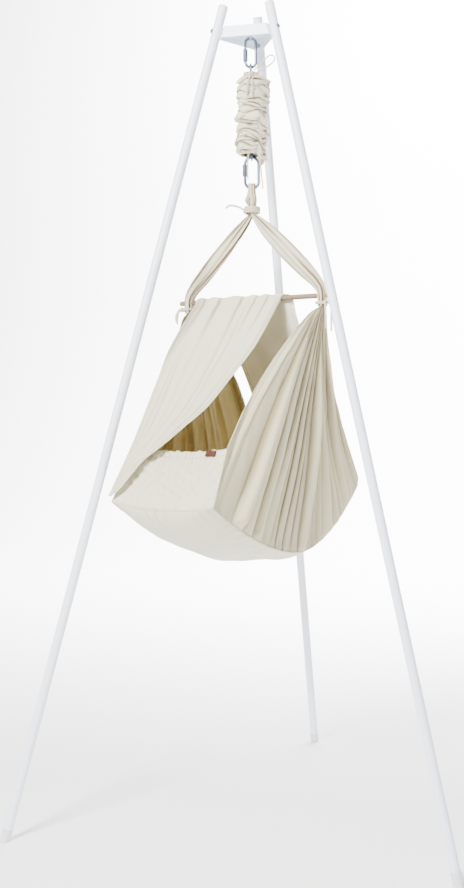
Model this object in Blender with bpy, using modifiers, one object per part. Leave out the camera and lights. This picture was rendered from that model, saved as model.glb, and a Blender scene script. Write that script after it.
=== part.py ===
"""Baby hammock on a tripod stand, modelled piece by piece.

Metres, +Z up. The floor is at z = 0 and the origin is on it, under the middle of the
part's bounding box. The tripod's plumb line stands at (0, AXIS_Y). The cradle
hangs on that line, turned by CRADLE_TURN, and the links and spring by HANGER_TURN.
"""

import math

import bmesh
import bpy
from mathutils import Matrix, Vector

# Tripod stand
LEG_TOP_HEIGHT = 1.950
FOOT_RADIUS = 0.628          # plumb line to a leg's centre at the floor
TOP_RADIUS = 0.063           # plumb line to a leg's centre at the tube's top
TUBE_RADIUS = 0.011
TUBE_WALL = 0.0015
LEG_JOINT_HEIGHT = 0.931     # where the two lengths of a leg meet
SPIGOT_LENGTH = 0.140
SPIGOT_WALL = 0.0015
PLUG_FLANGE = 0.003
PLUG_DEPTH = 0.018
FOOT_WALL = 0.0015
FOOT_HEIGHT = 0.032          # along the leg, from the floor's centre point
FOOT_PLUG = 0.020

# Top plate: a triangular tray, open below, with its corners cut to take the legs
PLATE_DROP = 0.048           # the tubes stand up past the plate's top by this
PLATE_DEPTH = 0.024
PLATE_SHEET = 0.0025
PLATE_APOTHEM = 0.045

# Leg bolts and their nuts
BOLT_RADIUS = 0.003
BOLT_HEAD_RADIUS = 0.0055
BOLT_HEAD_HEIGHT = 0.0032
NUT_RADIUS = 0.0056
NUT_HEIGHT = 0.005
BOLT_END = 0.0015            # thread that stands out past a nut
WASHER_RADIUS = 0.008
WASHER_HEIGHT = 0.0016

# Eye bolt
EYE_RING_RADIUS = 0.009      # to the wire's centre
EYE_WIRE = 0.003

# Quick links: an open oval of wire, closed by a screwed sleeve
UPPER_LINK_WIRE = 0.00325
UPPER_LINK_BEND = 0.01225
UPPER_LINK_LENGTH = 0.0715
LOWER_LINK_WIRE = 0.0035
LOWER_LINK_BEND = 0.016
LOWER_LINK_LENGTH = 0.078
SLEEVE_WALL = 0.0026
SLEEVE_LENGTH = 0.0265
LINK_GAP = 0.008

# Spring, its safety cord and its cover
SPRING_WIRE = 0.0025
SPRING_RADIUS = 0.017
SPRING_TURNS = 21
COIL_LENGTH = 0.139
TOP_HOOK_REACH = 0.03075     # upper link's lower bend to the coil
LOW_HOOK_REACH = 0.0297      # coil to the lower link's top
HOOK_BEND = 0.0115
SAFETY_CORD = 0.0025
SAFETY_RADIUS = 0.008        # the slack cord winds loosely inside the coil
SAFETY_TURNS = 3.5
SAFETY_END = 0.0046          # its ends stop under the wire that crosses the coil's ends
COVER_DROP = 0.01225         # under the upper link's lower bend
COVER_RISE = 0.0012          # over the lower link's top
COVER_RADIUS = 0.0345
COVER_CLOTH = 0.002
COVER_MOUTH = 0.0136         # drawn in round the spring's top hook
COVER_HEM = 0.0275

# Cradle, in its own directions: u along the spreader bar, v across it
SLING_REACH = 0.2580         # lower link's lower bend to the bar
BAR_LENGTH = 0.450
BAR_RADIUS = 0.006
TIE_PLACE = 0.198            # where the slings are tied to the bar
CLOTH = 0.0025
BASE_HALF_WIDTH = 0.146
NEAR_END = -0.352
FAR_END = 0.244
LOW_POINT = -0.020
SEAM_DROP = 0.5988           # bar to the lowest point of the base's side seams
NEAR_SEAM_RISE = 0.133
FAR_SEAM_RISE = 0.142
BELLY = 0.030
NECK_DROP = 0.0248           # bar to the panels' gathered tops
NECK_HALF = 0.020
PLEAT_DEPTH = 0.009
PLEATS = 9
END_WALL_HEIGHT = 0.125
FAR_WALL_HEIGHT = 0.090
MATTRESS_LENGTH = 0.400
MATTRESS_WIDTH = 0.235
MATTRESS_HEIGHT = 0.034
MATTRESS_PLACE = (0.008, 0.037)
TAG_SIZE = (0.029, 0.0012, 0.015)
TAG_PLACE = 0.105

# Clearances
GAP = 0.0003                 # between faces that touch
SLIDE_GAP = 0.0003           # a sleeve on its wire, a bolt in its hole

CRADLE_TURN = math.radians(-20.0)
HANGER_TURN = math.radians(14.0)
LEG_TURNS = {"left": 210.0, "right": -30.0, "back": 90.0}

LEG_SPREAD = FOOT_RADIUS - TOP_RADIUS
LEG_LENGTH = math.hypot(LEG_SPREAD, LEG_TOP_HEIGHT)
LEG_COS = LEG_TOP_HEIGHT / LEG_LENGTH
LEG_SIN = LEG_SPREAD / LEG_LENGTH
FOOT_OUTER = TUBE_RADIUS + FOOT_WALL
FOOT_REACH = FOOT_OUTER / LEG_COS
# behind the plumb line the back foot reaches furthest, and in front of it the cradle's near corner
CRADLE_REACH = BASE_HALF_WIDTH * math.sin(-CRADLE_TURN) - NEAR_END * math.cos(CRADLE_TURN) + CLOTH / 4.0
AXIS_Y = (CRADLE_REACH - FOOT_RADIUS - FOOT_REACH) / 2.0

# what hangs is measured down from the plate, piece by piece
PLATE_TOP = LEG_TOP_HEIGHT - PLATE_DROP
EYE_CENTRE = PLATE_TOP - PLATE_SHEET - GAP - EYE_WIRE - EYE_RING_RADIUS
UPPER_WIRE_TOP = EYE_CENTRE - EYE_RING_RADIUS + EYE_WIRE + GAP + UPPER_LINK_WIRE
UPPER_WIRE_BOTTOM = UPPER_WIRE_TOP + 2.0 * UPPER_LINK_WIRE - UPPER_LINK_LENGTH
COIL_TOP = UPPER_WIRE_BOTTOM - TOP_HOOK_REACH
COIL_BOTTOM = COIL_TOP - COIL_LENGTH
LOWER_LINK_TOP = COIL_BOTTOM - LOW_HOOK_REACH
COVER_TOP = UPPER_WIRE_BOTTOM - COVER_DROP
COVER_BOTTOM = LOWER_LINK_TOP + COVER_RISE
LOWER_WIRE_TOP = LOWER_LINK_TOP - LOWER_LINK_WIRE
LOWER_WIRE_BOTTOM = LOWER_LINK_TOP + LOWER_LINK_WIRE - LOWER_LINK_LENGTH
BAR_HEIGHT = LOWER_WIRE_BOTTOM - SLING_REACH
NECK_HEIGHT = BAR_HEIGHT - NECK_DROP
SEAM_LOW = BAR_HEIGHT - SEAM_DROP


def hung(points, height):
    """Points whose third number is measured up from a height."""
    return [(p[0], p[1], height + p[2]) for p in points]



WHITE = (0.86, 0.87, 0.90)
CREAM = (0.80, 0.77, 0.69)
STEEL = (0.52, 0.54, 0.58)


def clear_scene():
    for obj in list(bpy.data.objects):
        bpy.data.objects.remove(obj, do_unlink=True)


def new_collection(name):
    collection = bpy.data.collections.new(name)
    bpy.context.scene.collection.children.link(collection)
    return collection


clear_scene()
PARTS = new_collection("baby_hammock")
CUTTERS = new_collection("cutters")


def material(name, colour, roughness, metallic=0.0):
    mat = bpy.data.materials.new(name)
    mat.use_nodes = True
    shader = mat.node_tree.nodes["Principled BSDF"]
    shader.inputs["Base Color"].default_value = (*colour, 1.0)
    shader.inputs["Roughness"].default_value = roughness
    shader.inputs["Metallic"].default_value = metallic
    return mat


def empty(name, location, parent=None, turn=0.0):
    obj = bpy.data.objects.new(name, None)
    PARTS.objects.link(obj)
    obj.parent = parent
    obj.location = location
    obj.rotation_euler = (0.0, 0.0, turn)
    return obj


def finish(obj, parent, mat, origin=(0.0, 0.0, 0.0)):
    """Link a piece whose mesh is written in its frame's own coordinates."""
    PARTS.objects.link(obj)
    obj.parent = parent
    obj.location = -Vector(origin)
    if mat is not None:
        obj.data.materials.append(mat)
    if obj.type == "MESH":
        obj.data.shade_smooth()
        obj.data.set_sharp_from_angle(angle=math.radians(35.0))
    return obj


def mesh_object(name, build):
    bm = bmesh.new()
    build(bm)
    mesh = bpy.data.meshes.new(name)
    bm.to_mesh(mesh)
    bm.free()
    return bpy.data.objects.new(name, mesh)


def turned(name, profile, segments, ring=False):
    """A turned piece about local Z. The profile runs top to bottom on its outer side."""
    def build(bm):
        verts = [bm.verts.new((r, 0.0, z)) for r, z in profile]
        for a, b in zip(verts, verts[1:]):
            bm.edges.new((a, b))
        if ring:
            bm.edges.new((verts[-1], verts[0]))
    obj = mesh_object(name, build)
    screw = obj.modifiers.new("turn", "SCREW")
    screw.steps = segments
    screw.render_steps = segments
    screw.use_merge_vertices = True
    screw.merge_threshold = 0.00001
    screw.use_smooth_shade = True
    return obj


def tube_profile(outer, inner, bottom, top):
    return [(outer, top), (outer, bottom), (inner, bottom), (inner, top)]


def wire(name, points, radius, resolution, cyclic=False):
    """A round wire or cord along points, as a filled curve."""
    curve = bpy.data.curves.new(name, "CURVE")
    curve.dimensions = "3D"
    curve.bevel_depth = radius
    curve.bevel_resolution = resolution
    curve.use_fill_caps = True
    spline = curve.splines.new("POLY")
    spline.points.add(len(points) - 1)
    for point, place in zip(spline.points, points):
        point.co = (*place, 1.0)
    spline.use_cyclic_u = cyclic
    return bpy.data.objects.new(name, curve)


def hex_prism(name, radius, bore, bottom, top, bore_segments=16):
    """A six-sided piece with a round bore, about local Z."""
    obj = turned(name, tube_profile(radius, 0.5 * (bore + radius), bottom, top), 6, ring=True)
    fill = turned(name + "_bore", [(0.0, top + GAP), (bore, top + GAP), (bore, bottom - GAP),
                                   (0.0, bottom - GAP)], bore_segments)
    return obj, fill


def cut(obj, cutter):
    """Take the cutter away from the piece, and keep it as a hidden guide."""
    if cutter.name not in CUTTERS.objects:
        CUTTERS.objects.link(cutter)
    cutter.hide_render = True
    cutter.display_type = "WIRE"
    boolean = obj.modifiers.new(cutter.name, "BOOLEAN")
    boolean.operation = "DIFFERENCE"
    boolean.solver = "EXACT"
    boolean.object = cutter


def thicken(obj, thickness, offset=0.0):
    solid = obj.modifiers.new("cloth", "SOLIDIFY")
    solid.thickness = thickness
    solid.offset = offset
    solid.use_even_offset = False
    return obj


def sheet(name, surface, columns, rows, thickness, offset=0.0):
    """A cloth piece: surface(a, b) on a grid, given its thickness."""
    def build(bm):
        grid = []
        for j in range(rows + 1):
            line = [bm.verts.new(surface(i / columns, j / rows)) for i in range(columns + 1)]
            grid.append(line)
        for j in range(rows):
            for i in range(columns):
                bm.faces.new((grid[j][i], grid[j][i + 1], grid[j + 1][i + 1], grid[j + 1][i]))
    return thicken(mesh_object(name, build), thickness, offset)


def loft(name, sections):
    """A closed body through rings of points, capped at both ends."""
    def build(bm):
        rings = [[bm.verts.new(p) for p in ring] for ring in sections]
        count = len(rings[0])
        for lower, upper in zip(rings, rings[1:]):
            for i in range(count):
                j = (i + 1) % count
                bm.faces.new((lower[i], lower[j], upper[j], upper[i]))
        bm.faces.new(list(reversed(rings[0])))
        bm.faces.new(rings[-1])
        bmesh.ops.recalc_face_normals(bm, faces=bm.faces)
    return mesh_object(name, build)


def smooth_path(points, steps):
    """Points along a smooth curve through the route's own points."""
    route = [Vector(p) for p in points]
    ends = [2.0 * route[0] - route[1]] + route + [2.0 * route[-1] - route[-2]]
    path = []
    for i in range(1, len(ends) - 2):
        a, b, c, d = ends[i - 1:i + 3]
        for k in range(steps):
            t = k / steps
            path.append(0.5 * (2.0 * b + (c - a) * t + (2.0 * a - 5.0 * b + 4.0 * c - d) * t * t
                               + (3.0 * b - 3.0 * c + d - a) * t ** 3))
    path.append(route[-1])
    return path


def cord_path(points, radius):
    """The same route with even points, one every two and a half diameters."""
    path = smooth_path(points, 10)
    length = sum((b - a).length for a, b in zip(path, path[1:]))
    return by_length(path, max(6, round(length / (5.0 * radius))))


def by_length(points, count):
    """The same line with its points evenly spaced."""
    lengths = [0.0]
    for a, b in zip(points, points[1:]):
        lengths.append(lengths[-1] + (b - a).length)
    even = []
    i = 0
    for k in range(count + 1):
        target = lengths[-1] * k / count
        while i < len(points) - 2 and lengths[i + 1] < target:
            i += 1
        share = (target - lengths[i]) / (lengths[i + 1] - lengths[i])
        even.append(points[i].lerp(points[i + 1], share))
    return even


def along(points, t):
    """The point at share t of a smooth route, by its control points."""
    path = smooth_path(points, 8)
    place = min(max(t, 0.0), 1.0) * (len(path) - 1)
    i = min(int(place), len(path) - 2)
    return path[i].lerp(path[i + 1], place - i)


def blend(a, b, t):
    return a + (b - a) * t


def ease(t):
    t = min(max(t, 0.0), 1.0)
    return t * t * (3.0 - 2.0 * t)


STAND = empty("stand_frame", (0.0, AXIS_Y, 0.0))


def leg_frame(side, degrees):
    """Local Z runs up the leg's centre from the floor, local X points to the plumb line."""
    angle = math.radians(degrees)
    out = Vector((math.cos(angle), math.sin(angle), 0.0))
    up = Vector((0.0, 0.0, 1.0))
    z_axis = up * LEG_COS - out * LEG_SIN
    x_axis = -out * LEG_COS - up * LEG_SIN
    y_axis = z_axis.cross(x_axis)
    frame = bpy.data.objects.new(f"leg_frame_{side}", None)
    PARTS.objects.link(frame)
    frame.parent = STAND
    turn = Matrix((x_axis, y_axis, z_axis)).transposed().to_4x4()
    frame.matrix_local = Matrix.Translation(out * FOOT_RADIUS) @ turn
    return frame


WHITE_PAINT = dict(colour=WHITE, roughness=0.38)
BOLT_HEIGHT = (PLATE_TOP - PLATE_DEPTH / 2.0) / LEG_COS
JOINT_PLACE = LEG_JOINT_HEIGHT / LEG_COS
TUBE_BORE = TUBE_RADIUS - TUBE_WALL
PLUG_RADIUS = TUBE_BORE - GAP
SPIGOT_RADIUS = TUBE_BORE - GAP
FLANGE_FACE = TUBE_RADIUS + GAP
NUT_FACE = FLANGE_FACE + PLATE_SHEET + GAP
BOLT_TIP = NUT_FACE + NUT_HEIGHT + BOLT_END


def cross_cutter(name, frame, radius, start, stop, height):
    """A hole's cutter along local X of a leg's frame."""
    cutter = turned(name, [(0.0, stop), (radius, stop), (radius, start), (0.0, start)], 16)
    CUTTERS.objects.link(cutter)
    cutter.parent = frame
    cutter.location = (0.0, 0.0, height)
    cutter.rotation_euler = (0.0, math.radians(90.0), 0.0)
    return cutter


def build_leg(side, frame):
    """Two tubes joined on an inner spigot, with a plug on top and a cap on the floor."""
    top = LEG_LENGTH - PLUG_FLANGE - GAP
    upper = turned(f"leg_upper_{side}", tube_profile(TUBE_RADIUS, TUBE_BORE, JOINT_PLACE + GAP, top),
                   24, ring=True)
    finish(upper, frame, material(f"leg_upper_{side}", **WHITE_PAINT))
    hole = cross_cutter(f"bolt_hole_{side}", frame, BOLT_RADIUS + SLIDE_GAP,
                        -TUBE_RADIUS - BOLT_HEAD_HEIGHT, BOLT_TIP + BOLT_END, BOLT_HEIGHT)
    cut(upper, hole)
    lower = turned(f"leg_lower_{side}",
                   tube_profile(TUBE_RADIUS, TUBE_BORE, FOOT_HEIGHT - FOOT_PLUG, JOINT_PLACE),
                   24, ring=True)
    finish(lower, frame, material(f"leg_lower_{side}", **WHITE_PAINT))
    half = SPIGOT_LENGTH / 2.0
    spigot = turned(f"leg_spigot_{side}",
                    tube_profile(SPIGOT_RADIUS, SPIGOT_RADIUS - SPIGOT_WALL,
                                 JOINT_PLACE - half, JOINT_PLACE + half), 16, ring=True)
    finish(spigot, frame, material(f"leg_spigot_{side}", STEEL, 0.4, 1.0))
    end = LEG_LENGTH
    plug = turned(f"top_plug_{side}",
                  [(0.0, end), (TUBE_RADIUS - 0.001, end), (TUBE_RADIUS, end - 0.001),
                   (TUBE_RADIUS, end - PLUG_FLANGE), (PLUG_RADIUS, end - PLUG_FLANGE),
                   (PLUG_RADIUS, end - PLUG_DEPTH), (0.0, end - PLUG_DEPTH)], 18)
    finish(plug, frame, material(f"top_plug_{side}", WHITE, 0.5))
    return hole


def build_foot(side, frame):
    """A cap that closes the tube's end and stands flat on the floor."""
    tube_end = FOOT_HEIGHT - FOOT_PLUG
    cap = turned(f"foot_cap_{side}",
                 [(0.0, tube_end - GAP), (TUBE_RADIUS + GAP, tube_end - GAP),
                  (TUBE_RADIUS + GAP, FOOT_HEIGHT), (FOOT_OUTER, FOOT_HEIGHT),
                  (FOOT_OUTER, -FOOT_OUTER), (0.0, -FOOT_OUTER)], 20)
    finish(cap, frame, material(f"foot_cap_{side}", (0.80, 0.81, 0.83), 0.6))
    floor = mesh_object(f"floor_cut_{side}", lambda bm: bmesh.ops.create_cube(bm, size=0.1))
    CUTTERS.objects.link(floor)
    floor.parent = STAND
    floor.location = (FOOT_RADIUS * math.cos(math.radians(LEG_TURNS[side])),
                      FOOT_RADIUS * math.sin(math.radians(LEG_TURNS[side])), -0.05)
    cut(cap, floor)


def build_leg_bolt(side, frame):
    """A button-head bolt through the tube and the plate's corner, with its nut inside."""
    head = FLANGE_FACE + BOLT_HEAD_HEIGHT
    bolt = turned(f"leg_bolt_{side}",
                  [(0.0, head), (BOLT_HEAD_RADIUS * 0.6, head), (BOLT_HEAD_RADIUS, head - 0.0015),
                   (BOLT_HEAD_RADIUS, FLANGE_FACE), (BOLT_RADIUS, FLANGE_FACE),
                   (BOLT_RADIUS, -BOLT_TIP), (0.0, -BOLT_TIP)], 12)
    finish(bolt, frame, material(f"leg_bolt_{side}", STEEL, 0.35, 1.0))
    bolt.location = (0.0, 0.0, BOLT_HEIGHT)
    bolt.rotation_euler = (0.0, math.radians(-90.0), 0.0)
    nut, bore = hex_prism(f"leg_nut_{side}", NUT_RADIUS, BOLT_RADIUS + SLIDE_GAP, 0.0, NUT_HEIGHT)
    finish(nut, frame, material(f"leg_nut_{side}", STEEL, 0.35, 1.0))
    for piece in (nut, bore):
        piece.location = (NUT_FACE, 0.0, BOLT_HEIGHT)
        piece.rotation_euler = (0.0, math.radians(90.0), 0.0)
    bore.parent = frame
    cut(nut, bore)


def corner_distance(height):
    """How far a cut corner's outer face stands from the plumb line at a height."""
    centre = blend(FOOT_RADIUS, TOP_RADIUS, height / LEG_TOP_HEIGHT)
    return centre - (TUBE_RADIUS + GAP) / LEG_COS


def plate_outline(height):
    """The six corners of the tray's outline: three long sides, three cut corners."""
    points = []
    half_side = math.radians(60.0)
    for degrees in sorted(LEG_TURNS.values()):
        angle = math.radians(degrees)
        out = Vector((math.cos(angle), math.sin(angle)))
        across = Vector((-out.y, out.x))
        reach = corner_distance(height)
        half = (PLATE_APOTHEM / math.cos(half_side) - reach) * math.tan(math.radians(30.0))
        for side in (-1.0, 1.0):
            points.append(out * reach + across * half * side)
    return points


def build_plate(holes):
    def build(bm):
        top = [bm.verts.new((p.x, p.y, PLATE_TOP)) for p in plate_outline(PLATE_TOP)]
        low = PLATE_TOP - PLATE_DEPTH
        rim = [bm.verts.new((p.x, p.y, low)) for p in plate_outline(low)]
        bm.faces.new(top)
        for i in range(6):
            j = (i + 1) % 6
            bm.faces.new((rim[i], rim[j], top[j], top[i]))
    plate = mesh_object("top_plate", build)
    shell = plate.modifiers.new("sheet", "SOLIDIFY")
    shell.thickness = PLATE_SHEET
    shell.offset = -1.0
    shell.use_even_offset = True
    edges = plate.modifiers.new("edges", "BEVEL")
    edges.width = PLATE_SHEET * 0.3
    edges.segments = 1
    edges.limit_method = "ANGLE"
    edges.angle_limit = math.radians(40.0)
    finish(plate, STAND, material("top_plate", **WHITE_PAINT))
    for hole in holes:
        cut(plate, hole)
    shank = turned("shank_hole", [(0.0, PLATE_TOP + 0.01), (BOLT_RADIUS + SLIDE_GAP, PLATE_TOP + 0.01),
                                  (BOLT_RADIUS + SLIDE_GAP, PLATE_TOP - 0.01),
                                  (0.0, PLATE_TOP - 0.01)], 16)
    shank.parent = STAND
    cut(plate, shank)


def build_eye_bolt():
    """A ring of wire on a threaded shank, held by a washer and a nut on the plate."""
    def build(bm):
        centre = Vector((0.0, 0.0, EYE_CENTRE))
        rings = []
        for i in range(24):
            a = math.tau * i / 24
            out = Vector((0.0, math.cos(a), math.sin(a)))
            ring = []
            for k in range(10):
                b = math.tau * k / 10
                offset = out * math.cos(b) + Vector((1.0, 0.0, 0.0)) * math.sin(b)
                ring.append(bm.verts.new(centre + out * EYE_RING_RADIUS + offset * EYE_WIRE))
            rings.append(ring)
        for i in range(24):
            for k in range(10):
                n = (k + 1) % 10
                nxt = rings[(i + 1) % 24]
                bm.faces.new((rings[i][k], rings[i][n], nxt[n], nxt[k]))
        bmesh.ops.recalc_face_normals(bm, faces=bm.faces)
    eye = mesh_object("eye_bolt", build)
    finish(eye, HANGER, material("eye_bolt", (0.78, 0.79, 0.81), 0.3, 1.0))
    nut_top = PLATE_TOP + GAP + WASHER_HEIGHT + GAP + NUT_HEIGHT
    foot = EYE_CENTRE + EYE_RING_RADIUS
    shank = turned("eye_shank", [(0.0, nut_top + BOLT_END), (BOLT_RADIUS, nut_top + BOLT_END),
                                 (BOLT_RADIUS, foot), (0.0, foot)], 16)
    CUTTERS.objects.link(shank)
    shank.parent = HANGER
    shank.hide_render = True
    shank.display_type = "WIRE"
    join = eye.modifiers.new("shank", "BOOLEAN")
    join.operation = "UNION"
    join.solver = "EXACT"
    join.object = shank
    washer = turned("eye_washer",
                    tube_profile(WASHER_RADIUS, BOLT_RADIUS + SLIDE_GAP, PLATE_TOP + GAP,
                                 PLATE_TOP + GAP + WASHER_HEIGHT), 20, ring=True)
    finish(washer, HANGER, material("eye_washer", STEEL, 0.35, 1.0))
    nut, bore = hex_prism("eye_nut", NUT_RADIUS, BOLT_RADIUS + SLIDE_GAP, nut_top - NUT_HEIGHT, nut_top)
    finish(nut, HANGER, material("eye_nut", STEEL, 0.35, 1.0))
    bore.parent = HANGER
    cut(nut, bore)


def link_path(bend, top, bottom, gap_low, gap_high):
    """Wire centres of an open oval in the X-Z plane, from the gap's top round to its bottom."""
    side = -bend
    points = [Vector((side, 0.0, gap_high))]
    for k in range(13):
        a = math.pi - math.pi * k / 12
        points.append(Vector((bend * math.cos(a), 0.0, top - bend + bend * math.sin(a))))
    for k in range(13):
        a = -math.pi * k / 12
        points.append(Vector((bend * math.cos(a), 0.0, bottom + bend + bend * math.sin(a))))
    points.append(Vector((side, 0.0, gap_low)))
    return points


def build_link(name, body, origin, bend, radius, top, bottom, gap_low, sleeve_low, sleeve_body):
    path = link_path(bend, top, bottom, gap_low, gap_low + LINK_GAP)
    link = wire(name, [p - Vector(origin) for p in path], radius, 2)
    finish(link, body, material(name, STEEL, 0.28, 1.0))
    bore = radius + SLIDE_GAP
    sleeve, fill = hex_prism(name + "_sleeve", bore + SLEEVE_WALL, bore, 0.0, SLEEVE_LENGTH, 12)
    finish(sleeve, sleeve_body, material(name + "_sleeve", (0.62, 0.64, 0.68), 0.25, 1.0))
    fill.parent = sleeve_body
    cut(sleeve, fill)


def spring_path():
    """Top hook, coil and bottom hook as one unbroken wire, hooks across the links."""
    def hook(centre, first, last, count):
        angles = [blend(first, last, k / (count - 1)) for k in range(count)]
        return [Vector((0.0, HOOK_BEND * math.cos(a), centre + HOOK_BEND * math.sin(a)))
                for a in angles]
    top_centre = UPPER_WIRE_BOTTOM + UPPER_LINK_WIRE + GAP + SPRING_WIRE - HOOK_BEND
    low_centre = LOWER_WIRE_TOP - LOWER_LINK_WIRE - GAP - SPRING_WIRE + HOOK_BEND
    points = hook(top_centre, math.radians(-40.0), math.radians(235.0), 12)
    points.append(Vector((0.0, 0.0, COIL_TOP + 0.010)))
    points.append(Vector((0.0, SPRING_RADIUS * 0.75, COIL_TOP + 0.004)))
    steps = 8 * SPRING_TURNS
    for k in range(steps + 1):
        a = math.pi / 2.0 + math.tau * SPRING_TURNS * k / steps
        points.append(Vector((SPRING_RADIUS * math.cos(a), SPRING_RADIUS * math.sin(a),
                              blend(COIL_TOP, COIL_BOTTOM, k / steps))))
    points.append(Vector((0.0, SPRING_RADIUS * 0.75, COIL_BOTTOM - 0.004)))
    points.append(Vector((0.0, 0.0, COIL_BOTTOM - 0.010)))
    points += hook(low_centre, math.radians(125.0), math.radians(400.0), 12)
    return points


def print_least_gap(points):
    """Least clear gap between turns of the coil, from its own points."""
    coil = points[14:-14]
    least = min((coil[i] - coil[j]).length for i in range(len(coil))
                for j in range(i + 6, min(i + 11, len(coil))))
    print("spring: least gap between turns", round((least - 2.0 * SPRING_WIRE) * 1000.0, 2), "mm")


def build_spring():
    origin = (0.0, 0.0, UPPER_WIRE_BOTTOM)
    points = spring_path()
    print_least_gap(points)
    spring = wire("spring", [p - Vector(origin) for p in points], SPRING_WIRE, 1)
    finish(spring, SPRING_BODY, material("spring", STEEL, 0.3, 1.0))
    route = []
    steps = round(8 * SAFETY_TURNS)
    for k in range(steps + 1):
        share = k / steps
        reach = SAFETY_RADIUS * min(1.0, 6.0 * share, 6.0 * (1.0 - share)) ** 0.5
        a = math.tau * SAFETY_TURNS * share
        route.append(Vector((reach * math.cos(a), reach * math.sin(a),
                             blend(COIL_TOP + SAFETY_END, COIL_BOTTOM - SAFETY_END, share) - origin[2])))
    cord = wire("safety_cord", route, SAFETY_CORD, 1)
    finish(cord, SPRING_BODY, material("safety_cord", (0.75, 0.74, 0.70), 0.8))


def cover_point(a, b):
    """The gathered sleeve: a is the share round it, b the share from its top down."""
    angle = math.tau * a
    face = math.cos(angle)
    low = COVER_BOTTOM - 0.020 * ease((face - 0.45) / 0.4)
    z = blend(COVER_TOP, low, b)
    mouth = ease(b / 0.09)
    hem = ease((1.0 - b) / 0.07)
    radius = blend(COVER_MOUTH, COVER_RADIUS, mouth)
    radius = blend(COVER_HEM, radius, hem)
    swing = math.sin(2.0 * angle + 7.0 * b)
    folds = math.cos(math.tau * (8.0 * b + 0.16 * swing + 0.10 * math.sin(angle)))
    radius += 0.0024 * folds * mouth * hem
    radius += 0.0040 * math.exp(-((b - 0.12) / 0.06) ** 2) * ease(face)
    radius += 0.0045 * math.exp(-((b - 0.86) / 0.07) ** 2) * ease(-face)
    lean = blend(0.006, 0.000, ease(b * 1.3)) * mouth
    return Vector((radius * math.cos(angle) + lean, radius * math.sin(angle), z))


def build_cover():
    rows, columns = 33, 12
    def build(bm):
        rings = [[bm.verts.new(cover_point(i / columns, j / rows)) for i in range(columns)]
                 for j in range(rows + 1)]
        for j in range(rows):
            for i in range(columns):
                n = (i + 1) % columns
                bm.faces.new((rings[j][i], rings[j + 1][i], rings[j + 1][n], rings[j][n]))
        bmesh.ops.translate(bm, verts=bm.verts, vec=(0.0, 0.0, -UPPER_WIRE_BOTTOM))
    cover = thicken(mesh_object("spring_cover", build), COVER_CLOTH, -1.0)
    finish(cover, SPRING_BODY, material("spring_cover", CREAM, 0.9))


# Free stretches of the cover's drawstrings, in the hanger's directions: x across the
# view of the upper link, y away from it, and up from the cover's top or the lower link's
COVER_CORDS = {
    "cover_cord_loop": [(0.0090, -0.0370, -0.0045), (0.022, -0.038, 0.0065), (0.040, -0.038, 0.0225),
                        (0.050, -0.0375, 0.0285), (0.052, -0.037, 0.0215), (0.036, -0.037, 0.0035),
                        (0.0110, -0.0370, -0.0107)],
    "cover_cord_end_a": [(0.0012, -0.0378, -0.0141), (-0.003, -0.0393, -0.0235), (-0.008, -0.0392, -0.0425),
                         (-0.009, -0.0395, -0.0595)],
    "cover_cord_end_b": [(0.0058, -0.0378, -0.0141), (0.0055, -0.0394, -0.0255), (0.0040, -0.0392, -0.0455),
                         (0.0045, -0.0395, -0.0655)],
}
COVER_LOW_CORDS = {
    "cover_low_cord_a": [(-0.006, -0.0262, 0.0003), (-0.008, -0.028, -0.0183), (-0.009, -0.029, -0.0403),
                         (-0.008, -0.029, -0.0583)],
    "cover_low_cord_b": [(0.0171, -0.0202, -0.0090), (0.0210, -0.023, -0.0233), (0.0235, -0.026, -0.0483),
                         (0.0265, -0.027, -0.0793)],
}
CORD_RADIUS = 0.0017


def build_cover_cords():
    origin = Vector((0.0, 0.0, UPPER_WIRE_BOTTOM))
    low_origin = Vector((0.0, 0.0, LOWER_WIRE_TOP))
    for cords, height, start, body in ((COVER_CORDS, COVER_TOP, origin, SPRING_BODY),
                                       (COVER_LOW_CORDS, LOWER_LINK_TOP, low_origin, LOWER_BODY)):
        for name, route in cords.items():
            points = [p - start for p in cord_path(hung(route, height), CORD_RADIUS)]
            cord = wire(name, points, CORD_RADIUS, 2)
            finish(cord, body, material(name, CREAM, 0.9))
    knot = mesh_object("cover_cord_knot",
                       lambda bm: bmesh.ops.create_uvsphere(bm, u_segments=12, v_segments=8, radius=1.0))
    knot.data.transform(Matrix.Diagonal((0.0065, 0.0045, 0.0050, 1.0)))
    knot.data.transform(Matrix.Translation(Vector((0.0035, -0.0355, COVER_TOP - 0.0090)) - origin))
    finish(knot, SPRING_BODY, material("cover_cord_knot", CREAM, 0.9))


def seam_height(v):
    """Height of the seam where a side panel meets the base."""
    if v < LOW_POINT:
        share = (LOW_POINT - v) / (LOW_POINT - NEAR_END)
        return SEAM_LOW + NEAR_SEAM_RISE * share ** 1.65
    share = (v - LOW_POINT) / (FAR_END - LOW_POINT)
    return SEAM_LOW + FAR_SEAM_RISE * share ** 1.9


def base_point(across, length, inset=0.0):
    """The base's cloth: a sling that hangs from the two ends and bellies between its seams."""
    u = blend(-1.0, 1.0, across)
    v = blend(NEAR_END, FAR_END, length)
    step = 0.002
    slope = (seam_height(v + step) - seam_height(v - step)) / (2.0 * step)
    down = Vector((0.0, slope, -1.0)).normalized()
    fullness = (1.0 - abs(u) ** 2.6) * math.sin(math.pi * length) ** 0.42
    fullness *= 1.0 + 0.75 * ease((0.42 - length) / 0.42)
    width = BASE_HALF_WIDTH - CLOTH / 2.0 - GAP - inset
    end_dip = 0.012 * (1.0 - u * u) * (1.0 - math.sin(math.pi * length) ** 0.5)
    return Vector((u * width, v, seam_height(v) - end_dip)) + down * BELLY * fullness


def build_base():
    base = sheet("base_sling", base_point, 10, 18, CLOTH)
    finish(base, CRADLE, material("base_sling", CREAM, 0.9), CRADLE_ORIGIN)


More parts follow.
